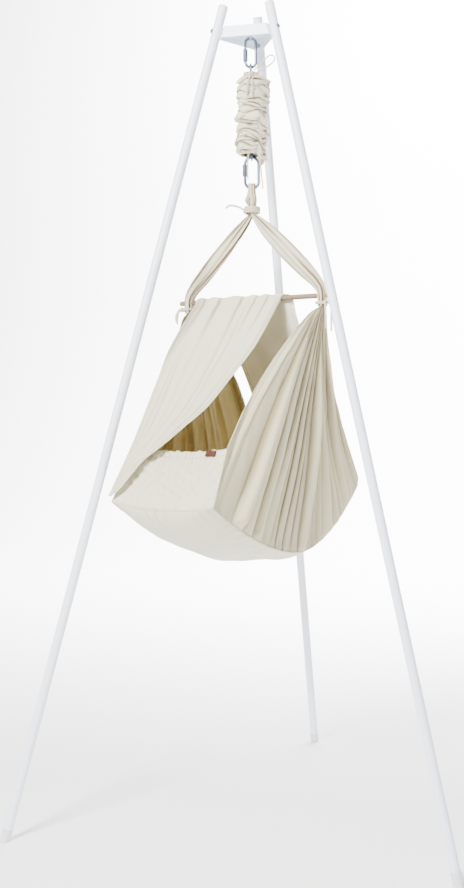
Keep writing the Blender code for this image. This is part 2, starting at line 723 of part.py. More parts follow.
def wall_corner(side, near):
    """Top and bottom of a corner where a side panel meets an end wall."""
    if near:
        bottom = Vector((side * BASE_HALF_WIDTH, NEAR_END, seam_height(NEAR_END)))
        lean = 0.052 if side > 0 else 0.076
        draw = 0.0 if side > 0 else 0.014
        return bottom + Vector((-side * draw, lean, END_WALL_HEIGHT)), bottom
    bottom = Vector((side * BASE_HALF_WIDTH, FAR_END, seam_height(FAR_END)))
    lean = 0.074 if side > 0 else 0.050
    return bottom + Vector((0.0, -lean, FAR_WALL_HEIGHT)), bottom


def panel_edge(side):
    """A side panel's lower edge: down one corner, along the seam, up the other corner."""
    near_top, near_low = wall_corner(side, True)
    far_top, far_low = wall_corner(side, False)
    points = [near_top.lerp(near_low, k / 4) for k in range(4)]
    for k in range(25):
        v = blend(NEAR_END, FAR_END, k / 24)
        points.append(Vector((side * BASE_HALF_WIDTH, v, seam_height(v))))
    points += [far_low.lerp(far_top, k / 4) for k in range(1, 5)]
    return points


def build_side_panel(name, side):
    """Cloth gathered to the bar's tie and fanned out in pleats to the base."""
    columns, rows = 4 * PLEATS, 8
    edge = by_length(panel_edge(side), columns)
    slack, taut = (0.82, 1.35) if side > 0 else (0.62, 1.02)

    def surface(a, b):
        foot = edge[round(a * columns)]
        neck = Vector((side * TIE_PLACE, blend(-NECK_HALF, NECK_HALF, a), NECK_HEIGHT - GAP))
        point = neck.lerp(foot, b)
        loose = 1.0 - a if side > 0 else a
        power = blend(taut, slack, ease(loose * 1.6 - 0.3))
        point.y = blend(neck.y, foot.y, b ** power)
        point.x -= side * 0.018 * ease(loose * 4.0 - 3.0) * math.sin(math.pi * b)
        border = ease((a - 0.08) / 0.10) * ease((0.92 - a) / 0.10)
        border *= blend(1.0, 0.45, ease(loose * 3.0 - 1.8))
        depth = PLEAT_DEPTH * border * math.sin(math.pi * b) ** 0.7
        point.x += side * depth * (0.5 - 0.5 * math.cos(math.tau * PLEATS * a))
        return point

    panel = sheet(name, surface, columns, rows, CLOTH)
    finish(panel, CRADLE, material(name, CREAM, 0.9), CRADLE_ORIGIN)


def end_wall_point(near, across, height):
    """An end wall, gathered along its elastic top edge."""
    left_top, left_low = wall_corner(-1.0, near)
    right_top, right_low = wall_corner(1.0, near)
    low = base_point(across, 0.0 if near else 1.0)
    low.z += CLOTH + GAP
    inset = CLOTH / 2.0 + GAP
    left_top.x += inset
    right_top.x -= inset
    top = left_top.lerp(right_top, across)
    sag = 4.0 * across * (1.0 - across)
    top.z -= 0.010 * sag
    point = low.lerp(top, height)
    gather = math.sin(math.tau * 8.0 * across) * math.sin(math.pi * across) ** 0.5
    outward = -1.0 if near else 1.0
    point.y += outward * (0.0018 * gather * height + 0.006 * sag * math.sin(math.pi * height))
    return point


def build_end_walls():
    for name, near in (("end_wall_near", True), ("end_wall_far", False)):
        wall = sheet(name, lambda a, b, side=near: end_wall_point(side, a, b), 24, 4, CLOTH)
        finish(wall, CRADLE, material(name, CREAM, 0.9), CRADLE_ORIGIN)


def build_tag():
    """A bare leather tag sewn on the near end wall, just under its top edge."""
    top = end_wall_point(True, 0.5 + 0.5 * TAG_PLACE / BASE_HALF_WIDTH, 0.99)
    low = end_wall_point(True, 0.5 + 0.5 * TAG_PLACE / BASE_HALF_WIDTH, 0.87)
    up = (top - low).normalized()
    out = Vector((1.0, 0.0, 0.0)).cross(up).normalized()
    tag = mesh_object("leather_tag", lambda bm: bmesh.ops.create_cube(bm, size=1.0))
    tag.data.transform(Matrix.Diagonal((*TAG_SIZE, 1.0)))
    turn = Matrix((Vector((1.0, 0.0, 0.0)), -out, up)).transposed().to_4x4()
    place = top.lerp(low, 0.5) + out * (CLOTH / 2.0 + TAG_SIZE[1] / 2.0 + 0.0040)
    tag.data.transform(Matrix.Translation(place) @ turn)
    edges = tag.modifiers.new("edges", "BEVEL")
    edges.width = TAG_SIZE[1] * 0.3
    edges.segments = 1
    finish(tag, CRADLE, material("leather_tag", (0.36, 0.15, 0.09), 0.6), CRADLE_ORIGIN)


VEIL_DRAWN = 0.5988          # the seam drop for which the veil's edges are given


def veil_hung(points):
    """Points measured up from the bar. The veil's lower ends keep to the base's seams."""
    spare = VEIL_DRAWN - SEAM_DROP
    return [(p[0], p[1], BAR_HEIGHT + p[2] + spare * ease(-p[2] / 0.35)) for p in points]


# The veil's two edges, from its tip at the near left corner up to the bar, and from
# the bar down to the far end wall
VEIL_LEFT_FRONT = veil_hung([(-0.1480, -0.3610, -0.4518), (-0.1385, -0.2970, -0.3498),
                             (-0.1460, -0.2570, -0.3028),
                   (-0.1690, -0.1600, -0.1898), (-0.1830, -0.0930, -0.1098), (-0.1700, -0.0082, -0.0038)])
VEIL_HEM_FRONT = veil_hung([(-0.1400, -0.3620, -0.4518), (-0.1176, -0.3500, -0.4308),
                            (-0.0750, -0.3260, -0.3738),
                  (-0.0305, -0.3090, -0.3383), (-0.0047, -0.2600, -0.2968), (0.0172, -0.2000, -0.2508),
                  (0.0410, -0.1300, -0.1758), (0.0610, -0.0700, -0.1068), (0.0871, -0.0082, -0.0038)])
VEIL_LEFT_BACK = veil_hung([(-0.1600, 0.0082, -0.0038), (-0.1300, 0.0500, -0.0828),
                            (-0.1130, 0.0930, -0.1448),
                  (-0.1140, 0.1600, -0.2508), (-0.1130, 0.2060, -0.3478), (-0.1130, 0.2230, -0.3928)])
VEIL_RIGHT_BACK = veil_hung([(0.1110, 0.0082, -0.0038), (0.1085, 0.0300, -0.0498), (0.1100, 0.0900, -0.1498),
                   (0.1120, 0.1500, -0.2508), (0.1130, 0.1890, -0.3478), (0.1130, 0.2080, -0.3928)])
VEIL_CLOTH = 0.002
VEIL_RIDE = 0.0082           # veil's middle surface to the bar's centre


def veil_point(across, run):
    """The veil from its front tip over the bar to the far end wall."""
    front, over = 0.56, 0.10
    if run <= front:
        share = run / front
        left = along(VEIL_LEFT_FRONT, share)
        right = along(VEIL_HEM_FRONT, share)
        point = left.lerp(right, across)
        full = math.sin(math.pi * min(share * 1.05, 1.0)) ** 0.8
        wave = math.sin(math.tau * (2.6 * across + 0.25 * share))
        point.y -= 0.006 * full * (1.0 + wave) * math.sin(math.pi * across) ** 0.5
        point.z -= 0.020 * full * math.sin(math.pi * across)
        return point
    if run <= front + over:
        share = (run - front) / over
        left = Vector(VEIL_LEFT_FRONT[-1]).lerp(Vector(VEIL_LEFT_BACK[0]), share)
        right = Vector(VEIL_HEM_FRONT[-1]).lerp(Vector(VEIL_RIGHT_BACK[0]), share)
        u = blend(left.x, right.x, across)
        a = math.pi * (1.0 - share)
        lift = BAR_HEIGHT + VEIL_RIDE * math.sin(a)
        return Vector((u, VEIL_RIDE * math.cos(a), lift))
    share = (run - front - over) / (1.0 - front - over)
    left = along(VEIL_LEFT_BACK, share)
    right = along(VEIL_RIGHT_BACK, share)
    point = left.lerp(right, across)
    full = math.sin(math.pi * share) ** 0.8
    point.y += 0.005 * full * (1.0 + math.sin(math.tau * 2.0 * across)) * math.sin(math.pi * across)
    return point


def build_veil():
    veil = sheet("veil", veil_point, 12, 32, VEIL_CLOTH)
    finish(veil, CRADLE, material("veil", CREAM, 0.9), CRADLE_ORIGIN)


def build_mattress():
    """A soft pad that lies in the base and bends with it."""
    middle = Vector((MATTRESS_PLACE[0], MATTRESS_PLACE[1], 0.0))
    half = (MATTRESS_WIDTH / 2.0, MATTRESS_LENGTH / 2.0)

    def bed(u, v):
        across = 0.5 + 0.5 * u / BASE_HALF_WIDTH
        return base_point(across, (v - NEAR_END) / (FAR_END - NEAR_END)).z

    def build(bm):
        bmesh.ops.create_cube(bm, size=2.0)
        bmesh.ops.subdivide_edges(bm, edges=bm.edges, cuts=6, use_grid_fill=True)
        for vert in bm.verts:
            x, y, z = vert.co
            pull = 1.0 - 0.05 * (1.0 - z * z) - 0.10 * z * z
            corner = 1.0 - 0.07 * (x * y) ** 2
            u = middle.x + half[0] * x * pull * corner
            v = middle.y + half[1] * y * blend(1.0, pull, 0.5) * corner
            crown = (1.0 - x ** 4) * (1.0 - y ** 4)
            thick = MATTRESS_HEIGHT * (0.62 + 0.38 * crown)
            lift = CLOTH * 0.72 + 0.004 * (x * x + y * y)
            vert.co = (u, v, bed(u, v) + lift + (z + 1.0) / 2.0 * thick)
    pad = mesh_object("mattress", build)
    finish(pad, CRADLE, material("mattress", (0.82, 0.80, 0.74), 0.9), CRADLE_ORIGIN)


def build_bar():
    half = BAR_LENGTH / 2.0
    ease_end = 0.0012
    bar = turned("spreader_bar", [(0.0, half), (BAR_RADIUS - ease_end, half), (BAR_RADIUS, half - ease_end),
                                  (BAR_RADIUS, -half + ease_end), (BAR_RADIUS - ease_end, -half),
                                  (0.0, -half)], 20)
    finish(bar, CRADLE, material("spreader_bar", (0.56, 0.42, 0.29), 0.6))
    bar.location = Vector((0.0, 0.0, BAR_HEIGHT)) - Vector(CRADLE_ORIGIN)
    bar.rotation_euler = (0.0, math.radians(90.0), 0.0)
    radius = BAR_RADIUS + GAP
    hole = turned("bar_hole", [(0.0, half), (radius, half), (radius, -half), (0.0, -half)], 20)
    hole.parent = CRADLE
    hole.location = bar.location
    hole.rotation_euler = bar.rotation_euler
    return hole


# The sling's gathered cloth from a bar tie up to the top tie: place along the bar,
# height over the bar, half width and half depth
SLING_RUN = [(0.1980, -0.0243, 0.0135, 0.0100), (0.1980, -0.0098, 0.0140, 0.0105),
             (0.1980, 0.0, 0.0145, 0.0105), (0.1950, 0.0142, 0.0150, 0.0100),
             (0.1820, 0.0322, 0.0165, 0.0090), (0.1550, 0.0572, 0.0195, 0.0085),
             (0.1150, 0.0937, 0.0215, 0.0080), (0.0750, 0.1302, 0.0200, 0.0080),
             (0.0400, 0.1622, 0.0160, 0.0080), (0.0170, 0.1852, 0.0100, 0.0075),
             (0.0074, 0.1972, 0.0066, 0.0062), (0.0072, 0.2172, 0.0066, 0.0062)]
LOOP_HALF_WIDTH = 0.0095
LOOP_HALF_DEPTH = 0.0042
LOOP_RADIUS = LOWER_LINK_WIRE + GAP + LOOP_HALF_DEPTH
TOP_TIE = (LOWER_WIRE_BOTTOM - 0.0593, LOWER_WIRE_BOTTOM - 0.0413)
STRAP_TOP = LOWER_WIRE_BOTTOM - 0.0408
SLING_DRAWN = 0.2580         # the sling's reach for which its run is given


def strap_height(rise):
    """A strap keeps its ends' shapes, and its middle takes up a change of reach."""
    return BAR_HEIGHT + rise + (SLING_REACH - SLING_DRAWN) * ease((rise - 0.02) / 0.165)


def sling_section(place, wide, deep, half_width, half_depth, folds=4):
    """A gathered bundle's outline, with a few lengthwise folds."""
    ring = []
    for k in range(12):
        a = math.tau * k / 12
        wave = 1.0 - 0.07 * (1.0 + math.cos(folds * a)) * 0.5
        ring.append(Vector(place) + wide * (half_width * wave * math.cos(a))
                    + deep * (half_depth * wave * math.sin(a)))
    return ring


def build_sling(bar_hole):
    """One gathered length of cloth, from bar end to bar end over the lower link."""
    bridge = HANGER_TURN - CRADLE_TURN
    link_way = Vector((math.cos(bridge), math.sin(bridge), 0.0))
    away = Vector((-math.sin(bridge), math.cos(bridge), 0.0))
    inner_bend = LOWER_LINK_BEND - LOWER_LINK_WIRE
    depth = Vector((0.0, 1.0, 0.0))
    sections = []

    def strap(side):
        stations = [Vector((side * u, side * -0.0035 * ease((rise - 0.1622) / 0.04), strap_height(rise)))
                    for u, rise, _, _ in SLING_RUN]
        rings = []
        for i, (place, (_, _, half_width, half_depth)) in enumerate(zip(stations, SLING_RUN)):
            ahead = stations[min(i + 1, len(stations) - 1)] - stations[max(i - 1, 0)]
            ahead.y = 0.0
            wide = depth.cross(ahead.normalized())
            rings.append(sling_section(place, wide, depth * side, half_width, half_depth))
        return rings

    sections += strap(1.0)
    for rise, shift in ((0.0140, 0.0040), (0.0290, 0.0010)):
        place = -away * LOOP_RADIUS + link_way * shift + Vector((0.0, 0.0, STRAP_TOP + rise))
        share = ease(rise / 0.029)
        sections.append(sling_section(place, link_way, away, blend(0.0075, LOOP_HALF_WIDTH, share),
                                      blend(0.0060, LOOP_HALF_DEPTH, share)))
    for k in range(7):
        a = math.pi * k / 6
        out = away * -math.cos(a) + Vector((0.0, 0.0, math.sin(a)))
        place = out * LOOP_RADIUS + Vector((0.0, 0.0, LOWER_WIRE_BOTTOM))
        ring = sling_section(place, link_way, -out, LOOP_HALF_WIDTH, LOOP_HALF_DEPTH)
        for point in ring:
            across = min(abs(point.dot(link_way)), inner_bend * 0.9)
            point.z += inner_bend - math.sqrt(inner_bend ** 2 - across ** 2)
        sections.append(ring)
    for rise, shift in ((0.0290, -0.0035), (0.0140, -0.0095)):
        place = away * LOOP_RADIUS + link_way * shift + Vector((0.0, 0.0, STRAP_TOP + rise))
        share = ease(rise / 0.029)
        sections.append(sling_section(place, link_way, -away, blend(0.0075, LOOP_HALF_WIDTH, share),
                                      blend(0.0060, LOOP_HALF_DEPTH, share)))
    sections += list(reversed(strap(-1.0)))
    sling = loft("sling", sections)
    finish(sling, CRADLE, material("sling", CREAM, 0.9), CRADLE_ORIGIN)
    cut(sling, bar_hole)


def oval_band(name, centre, inner, wall, height, turns):
    """A cord wound round a bundle as a ribbed oval band."""
    def build(bm):
        rings = []
        steps = 2 * turns
        for i in range(20):
            a = math.tau * i / 20
            out = Vector((math.cos(a), math.sin(a), 0.0))
            ring = []
            for k in range(steps + 1):
                share = k / steps
                bulge = wall * (0.72 + 0.28 * abs(math.sin(math.pi * turns * share)))
                ring.append((out, bulge, blend(height / 2.0, -height / 2.0, share)))
            ring += [(out, 0.0, -height / 2.0), (out, 0.0, height / 2.0)]
            rings.append([bm.verts.new((centre[0] + o.x * (inner[0] + w), centre[1] + o.y * (inner[1] + w),
                                        centre[2] + z)) for o, w, z in ring])
        count = len(rings[0])
        for i in range(20):
            nxt = rings[(i + 1) % 20]
            for k in range(count):
                n = (k + 1) % count
                bm.faces.new((rings[i][k], rings[i][n], nxt[n], nxt[k]))
        bmesh.ops.recalc_face_normals(bm, faces=bm.faces)
    band = mesh_object(name, build)
    finish(band, CRADLE, material(name, CREAM, 0.9), CRADLE_ORIGIN)


def build_ties():
    low, high = TOP_TIE
    oval_band("top_tie", (0.0, 0.0, (low + high) / 2.0), (0.0158, 0.0150), 0.0030, high - low, 3)
    for side, name in ((1.0, "bar_tie_right"), (-1.0, "bar_tie_left")):
        oval_band(name, (side * TIE_PLACE, 0.0, BAR_HEIGHT - 0.0158), (0.0146, 0.0112), 0.0035, 0.0090, 2)


# Free ends of the ties, in the cradle's directions, up from the link's bend or the bar
TIE_CORDS = {
    "top_tie_end": [(-0.0193, -0.002, -0.0503), (-0.032, -0.006, -0.0418), (-0.047, -0.010, -0.0368),
                    (-0.058, -0.014, -0.0358), (-0.066, -0.017, -0.0418)],
    "right_tie_end_a": [(0.2181, -0.002, -0.0135), (0.2240, -0.004, -0.0238), (0.2250, -0.005, -0.0528),
                        (0.2260, -0.006, -0.0818)],
    "right_tie_end_b": [(0.2120, -0.0120, -0.0135), (0.2170, -0.0175, -0.0268), (0.2185, -0.0185, -0.0528),
                        (0.2190, -0.0190, -0.0758)],
    "left_tie_end_a": [(-0.2167, -0.002, -0.0135), (-0.2270, -0.006, -0.0163), (-0.2340, -0.009, -0.0308),
                       (-0.2330, -0.010, -0.0448)],
    "left_tie_end_b": [(-0.2113, -0.0113, -0.0135), (-0.2180, -0.018, -0.0238), (-0.2200, -0.021, -0.0388),
                       (-0.2190, -0.022, -0.0518)],
}
TIE_CORD_RADIUS = 0.0024


def build_tie_cords():
    for name, route in TIE_CORDS.items():
        height = LOWER_WIRE_BOTTOM if name == "top_tie_end" else BAR_HEIGHT
        points = [p - Vector(CRADLE_ORIGIN) for p in cord_path(hung(route, height), TIE_CORD_RADIUS)]
        cord = wire(name, points, TIE_CORD_RADIUS, 2)
        finish(cord, CRADLE, material(name, CREAM, 0.9))


HANGER = empty("hanger_frame", (0.0, 0.0, 0.0), STAND, HANGER_TURN)
UPPER_BODY = empty("upper_link_pivot", (0.0, 0.0, UPPER_WIRE_TOP - UPPER_LINK_WIRE), HANGER)
UPPER_SLEEVE_LOW = UPPER_WIRE_BOTTOM + UPPER_LINK_BEND + 0.0010
UPPER_SLEEVE_BODY = empty("upper_sleeve_slide",
                          (-UPPER_LINK_BEND, 0.0, UPPER_SLEEVE_LOW - UPPER_WIRE_TOP + UPPER_LINK_WIRE),
                          UPPER_BODY)
SPRING_BODY = empty("spring_pivot", (0.0, 0.0, UPPER_WIRE_BOTTOM - UPPER_WIRE_TOP + UPPER_LINK_WIRE),
                    UPPER_BODY)
LOWER_BODY = empty("lower_link_slide", (0.0, 0.0, LOWER_WIRE_TOP - UPPER_WIRE_BOTTOM), SPRING_BODY)
LOWER_SLEEVE_LOW = LOWER_WIRE_TOP - LOWER_LINK_BEND - SLEEVE_LENGTH - 0.0010
LOWER_SLEEVE_BODY = empty("lower_sleeve_slide",
                          (-LOWER_LINK_BEND, 0.0, LOWER_SLEEVE_LOW - LOWER_WIRE_TOP), LOWER_BODY)
CRADLE_ORIGIN = (0.0, 0.0, LOWER_WIRE_BOTTOM)
CRADLE = empty("cradle_pivot", (0.0, 0.0, LOWER_WIRE_BOTTOM - LOWER_WIRE_TOP), LOWER_BODY,
               CRADLE_TURN - HANGER_TURN)


def build_stand():
    holes = []
    for side, degrees in LEG_TURNS.items():
        frame = leg_frame(side, degrees)
        holes.append(build_leg(side, frame))
        build_foot(side, frame)
        build_leg_bolt(side, frame)
    build_plate(holes)
    build_eye_bolt()


def build_hanger():
    build_link("upper_link", UPPER_BODY, (0.0, 0.0, UPPER_WIRE_TOP - UPPER_LINK_WIRE), UPPER_LINK_BEND,
               UPPER_LINK_WIRE, UPPER_WIRE_TOP, UPPER_WIRE_BOTTOM, UPPER_SLEEVE_LOW + 0.0015,
               UPPER_SLEEVE_LOW, UPPER_SLEEVE_BODY)
    build_spring()
    build_cover()
    build_cover_cords()
    build_link("lower_link", LOWER_BODY, (0.0, 0.0, LOWER_WIRE_TOP), LOWER_LINK_BEND,
               LOWER_LINK_WIRE, LOWER_WIRE_TOP, LOWER_WIRE_BOTTOM,
               LOWER_SLEEVE_LOW + SLEEVE_LENGTH - 0.0015 - LINK_GAP, LOWER_SLEEVE_LOW, LOWER_SLEEVE_BODY)


def build_cradle():
    build_sling(build_bar())
    build_ties()
    build_tie_cords()
    build_side_panel("side_panel_right", 1.0)
    build_side_panel("side_panel_left", -1.0)
    build_end_walls()
    build_tag()
    build_base()
    build_mattress()
    build_veil()


build_stand()
build_hanger()
build_cradle()
bpy.context.view_layer.update()
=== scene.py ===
from math import pi, tau

import bmesh
import bpy
import numpy as np
from mathutils import Matrix, Vector
from numpy import (arange, array, clip, concatenate, cos, cumsum, diff, exp, linspace, maximum,
                   minimum, ones, radians, sin, sqrt, stack, vstack, zeros)


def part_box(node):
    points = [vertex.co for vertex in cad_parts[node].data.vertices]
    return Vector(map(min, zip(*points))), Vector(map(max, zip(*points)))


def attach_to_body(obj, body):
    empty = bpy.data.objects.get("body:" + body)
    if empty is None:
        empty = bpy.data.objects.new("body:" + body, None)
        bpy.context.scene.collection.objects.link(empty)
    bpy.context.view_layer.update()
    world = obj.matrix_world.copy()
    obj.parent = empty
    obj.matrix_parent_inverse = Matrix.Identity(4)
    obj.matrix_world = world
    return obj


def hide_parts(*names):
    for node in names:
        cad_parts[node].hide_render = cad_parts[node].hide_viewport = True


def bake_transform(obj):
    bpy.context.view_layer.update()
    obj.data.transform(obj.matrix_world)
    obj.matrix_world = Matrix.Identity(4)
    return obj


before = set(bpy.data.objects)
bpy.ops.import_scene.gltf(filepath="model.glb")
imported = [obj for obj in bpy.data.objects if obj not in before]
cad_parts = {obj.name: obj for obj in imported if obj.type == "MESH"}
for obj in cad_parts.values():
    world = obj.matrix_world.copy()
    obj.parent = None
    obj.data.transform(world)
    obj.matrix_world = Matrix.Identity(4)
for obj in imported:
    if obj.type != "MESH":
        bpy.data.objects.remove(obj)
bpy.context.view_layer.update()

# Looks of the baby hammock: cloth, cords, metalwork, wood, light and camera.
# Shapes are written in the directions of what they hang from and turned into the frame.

AXIS_Y = -0.129841                  # the plumb line's place along Y
CRADLE_TURN = radians(-20)
HANGER_TURN = radians(14)
UP = array([0, 0, 1])


def turned(points, turn):
    """Points about the plumb line, turned and moved into the frame."""
    p = array(points, dtype=float)
    out = p.copy()
    out[..., 0] = cos(turn) * p[..., 0] - sin(turn) * p[..., 1]
    out[..., 1] = sin(turn) * p[..., 0] + cos(turn) * p[..., 1] + AXIS_Y
    return out


def in_cradle(points):
    return turned(points, CRADLE_TURN)


def in_hanger(points):
    return turned(points, HANGER_TURN)


def heading(turn):
    """The level directions along and across a turn."""
    c, s = cos(turn), sin(turn)
    return array([c, s, 0]), array([-s, c, 0])


def unit(t):
    return clip(t, 0, 1)


def smooth(t):
    t = unit(t)
    return t * t * (3 - 2 * t)


def arch(t):
    return sin(pi * t)


def wave(t):
    return sin(tau * t)


def fade(t, reach):
    return exp(-t / reach)


def bell(t, middle, width):
    return exp(-((t - middle) / width) ** 2)


def row(count):
    """Shares from 0 to 1 across a grid."""
    return linspace(0, 1, count + 1)[None, :]


def column(count):
    return row(count).T


def grid(*parts):
    return stack(np.broadcast_arrays(*parts), axis=-1)


def ring(angle, x_radius, y_radius, z):
    return grid(x_radius * cos(angle), y_radius * sin(angle), z)


def spline(points, steps):
    """A smooth curve through the points, as an array."""
    p = array(points, dtype=float)
    ends = vstack([2 * p[0] - p[1], p, 2 * p[-1] - p[-2]])
    out = []
    for i in range(1, len(ends) - 2):
        a, b, c, d = ends[i - 1:i + 3]
        t = linspace(0, 1, steps, endpoint=False)[:, None]
        out.append(0.5 * (2 * b + (c - a) * t + (2 * a - 5 * b + 4 * c - d) * t ** 2
                          + (3 * b - 3 * c + d - a) * t ** 3))
    out.append(p[-1][None, :])
    return vstack(out)


def hermite(x, y, want):
    """Values along a line, eased through its stations."""
    slope = np.gradient(y, x)
    i = clip(np.searchsorted(x, want) - 1, 0, len(x) - 2)
    h = x[i + 1] - x[i]
    t = (want - x[i]) / h
    return ((2 * t ** 3 - 3 * t ** 2 + 1) * y[i] + (t ** 3 - 2 * t ** 2 + t) * h * slope[i]
            + (-2 * t ** 3 + 3 * t ** 2) * y[i + 1] + (t ** 3 - t ** 2) * h * slope[i + 1])


def lengths(line):
    return concatenate([[0], cumsum(np.linalg.norm(diff(line, axis=0), axis=1))])


def even(line, count):
    """The same line with evenly spaced points."""
    run = lengths(line)
    want = linspace(0, run[-1], count + 1)
    return stack([np.interp(want, run, line[:, k]) for k in range(line.shape[1])], axis=1)


class Ripple:
    """A smooth seeded unevenness over a surface, from a few sine waves."""

    def __init__(self, seed, low, high, count=9, whole=False):
        rng = np.random.default_rng(seed)
        self.kx = rng.uniform(low[0], high[0], count) * rng.choice([-1, 1], count)
        self.ky = rng.uniform(low[1], high[1], count)
        if whole:
            self.kx = np.round(self.kx)
        self.phase = rng.uniform(0, tau, count)
        self.size = rng.uniform(0.5, 1, count)
        self.size /= sqrt((self.size ** 2).sum() / 2)

    def __call__(self, x, y):
        total = 0
        for kx, ky, phase, size in zip(self.kx, self.ky, self.phase, self.size):
            total = total + size * sin(tau * (kx * x + ky * y) + phase)
        return total


def partition(draw, start, stop, low, high):
    """Marks from start to stop with uneven steps."""
    marks = [start]
    while marks[-1] < stop:
        marks.append(marks[-1] + draw(low, high))
    scale = (stop - start) / (marks[-1] - start)
    return [start + (m - start) * scale for m in marks]


def with_gaps(marks):
    """Each mark, the gap to the next one, and 1 for a mark that may move or 0 for an end."""
    last = len(marks) - 1
    return [(mark, marks[min(i + 1, last)] - mark, float(0 < i < last))
            for i, mark in enumerate(marks)]


def drawn_wave(draw, low, high, run):
    """A slow wave along a fold."""
    return wave(draw(low, high) * run + draw(0, 1))


def ridges(x, marks, heights, width, strengths, power=0.7):
    """Rounded ridges between sharp valleys, and how near each point lies to a valley."""
    ridge = valley = 0
    for start, stop, height in zip(marks, marks[1:], heights):
        share = (x - start) / (stop - start)
        inside = (share >= 0) & (share < 1)
        ridge = ridge + np.where(inside, unit(4 * share * (1 - share)) ** power * height, 0)
    for mark, strength in zip(marks[1:-1], strengths[1:-1]):
        valley = maximum(valley, strength * bell(x, mark, width))
    return ridge, valley


def settle(thing, **values):
    """Makes a thing's settings."""
    for key, value in values.items():
        setattr(thing, key, value)
    return thing


def link(name, data):
    """A new object in the scene."""
    obj = bpy.data.objects.new(name, data)
    bpy.context.scene.collection.objects.link(obj)
    return obj


# ---- camera

def place_camera():
    camera = link("camera", bpy.data.cameras.new("camera"))
    settle(camera.data, lens=46.43, sensor_width=36, sensor_fit="AUTO", shift_x=-0.0766,
           shift_y=0.1194)
    forward = Vector((-0.2393, 0.9611, -0.1378)).normalized()
    right = Vector((0.9705, 0.2409, -0.005))
    right = (right - forward * right.dot(forward)).normalized()
    up = right.cross(forward)
    turn = Matrix((right, up, -forward)).transposed().to_4x4()
    camera.matrix_world = Matrix.Translation((0.7844, -2.6974 + AXIS_Y, 1.0706)) @ turn
    bpy.context.scene.camera = camera


place_camera()


# ---- materials

def feed(socket, value):
    """A number, a colour or another node's output, into a socket."""
    if isinstance(value, bpy.types.NodeSocket):
        socket.id_data.links.new(value, socket)
    else:
        socket.default_value = (*value, 1) if socket.type == "RGBA" else value


def dim(colour, share):
    return tuple(c * share for c in colour)


class Look:
    """A material in the making: its shader, and the nodes that feed it."""

    def __init__(self, name, **values):
        self.mat = bpy.data.materials.new(name)
        self.mat.use_nodes = True
        self.tree = self.mat.node_tree
        self.shader = self.tree.nodes["Principled BSDF"]
        for key, value in values.items():
            feed(self.shader.inputs[key.replace("_", " ")], value)

    def node(self, kind, output, **values):
        """A node's output, with its sockets fed and its settings made."""
        made = self.tree.nodes.new("ShaderNode" + kind)
        for key, value in values.items():
            if key.replace("_", " ") in made.inputs:
                feed(made.inputs[key.replace("_", " ")], value)
            else:
                setattr(made, key, value)
        return made.outputs[output]

    def number(self, operation, *values):
        made = self.tree.nodes.new("ShaderNodeMath")
        made.operation = operation
        for socket, value in zip(made.inputs, values):
            feed(socket, value)
        return made.outputs[0]

    def times(self, a, b):
        return self.number("MULTIPLY", a, b)

    def plus(self, a, b):
        return self.number("ADD", a, b)

    def off(self, a, b):
        return self.number("ABSOLUTE", self.number("SUBTRACT", a, b))

    def mix(self, a, b, share, amount=None):
        """Two colours mixed by a pattern, or by an amount of it."""
        share = share if amount is None else self.times(share, amount)
        made = self.tree.nodes.new("ShaderNodeMix")
        made.data_type = "RGBA"
        for index, value in ((0, share), (6, a), (7, b)):
            feed(made.inputs[index], value)
        return made.outputs[2]

    def place(self, source="Object", scale=(1, 1, 1), turn=0):
        return self.node("Mapping", "Vector", Vector=self.node("TexCoord", source), Scale=scale,
                         Rotation=(0, 0, turn))

    def tint(self, name):
        return self.node("Attribute", "Fac", attribute_name=name)

    def noise(self, place, scale, detail=3, roughness=0.5):
        return self.node("TexNoise", "Fac", Vector=place, Scale=scale, Detail=detail,
                         Roughness=roughness)

    def bands(self, place, step, direction="DIAGONAL", **values):
        """Bands across a direction, a step apart."""
        return self.node("TexWave", "Fac", Vector=place, Scale=tau / 20 / step,
                         bands_direction=direction, **values)

    def done(self, base, height, strength, distance, rough=None):
        feed(self.shader.inputs["Base Color"], base)
        if rough is not None:
            feed(self.shader.inputs["Roughness"], rough)
        feed(self.shader.inputs["Normal"],
             self.node("Bump", "Normal", Strength=strength, Distance=distance, Height=height))
        return self.mat


THREAD = 0.0011            # one warp thread to the next but one
STITCH = 0.0032
HEM_LINE = 0.011
STITCH_HALF_WIDTH = 0.0007
HEM_FOLD_HALF_WIDTH = 0.0012


def cotton(name, colour, crease, stitched=True, source="UV"):
    """Plain-woven undyed cotton: weave, slubs, painted shade in its creases, and a stitched hem.
    """
    look = Look(name, Roughness=0.88, Sheen_Weight=0.25, Sheen_Roughness=0.55)
    place = look.place(source)
    weave = look.times(*[look.bands(place, THREAD, axis, Distortion=1.6, Detail=1,
                                    Detail_Scale=0.35) for axis in "XY"])
    slubs = look.times(*[look.noise(look.place(source, scale), 1)
                         for scale in ((60, 1400, 60), (1400, 60, 60))])
    height = look.plus(weave, look.times(slubs, 1.5))
    height = look.plus(height, look.times(look.noise(place, 420, 2), 0.35))
    mottle = look.noise(look.place(), 14, 4, 0.6)
    base = look.mix(colour, dim(colour, 0.86), slubs, 0.9)
    base = look.mix(base, dim(colour, 0.9), mottle, 0.22)
    # painted shade: the colour darkens towards the shade colour where the mesh's attribute marks
    # fold valleys, gathers and seams
    base = look.mix(base, crease, look.tint("crease"))
    if stitched:
        off = look.off(look.tint("hem"), HEM_LINE)
        dash = look.number("GREATER_THAN", look.bands(place, STITCH), 0.3)
        stitch = look.times(look.number("LESS_THAN", off, STITCH_HALF_WIDTH), dash)
        base = look.mix(base, dim(crease, 0.78), stitch, 0.55)
        fold = look.number("LESS_THAN", off, HEM_FOLD_HALF_WIDTH)
        height = look.number("SUBTRACT", height, look.times(fold, 1.6))
        height = look.plus(height, look.times(stitch, 1.4))
    return look.done(base, height, 0.38, 0.0005)


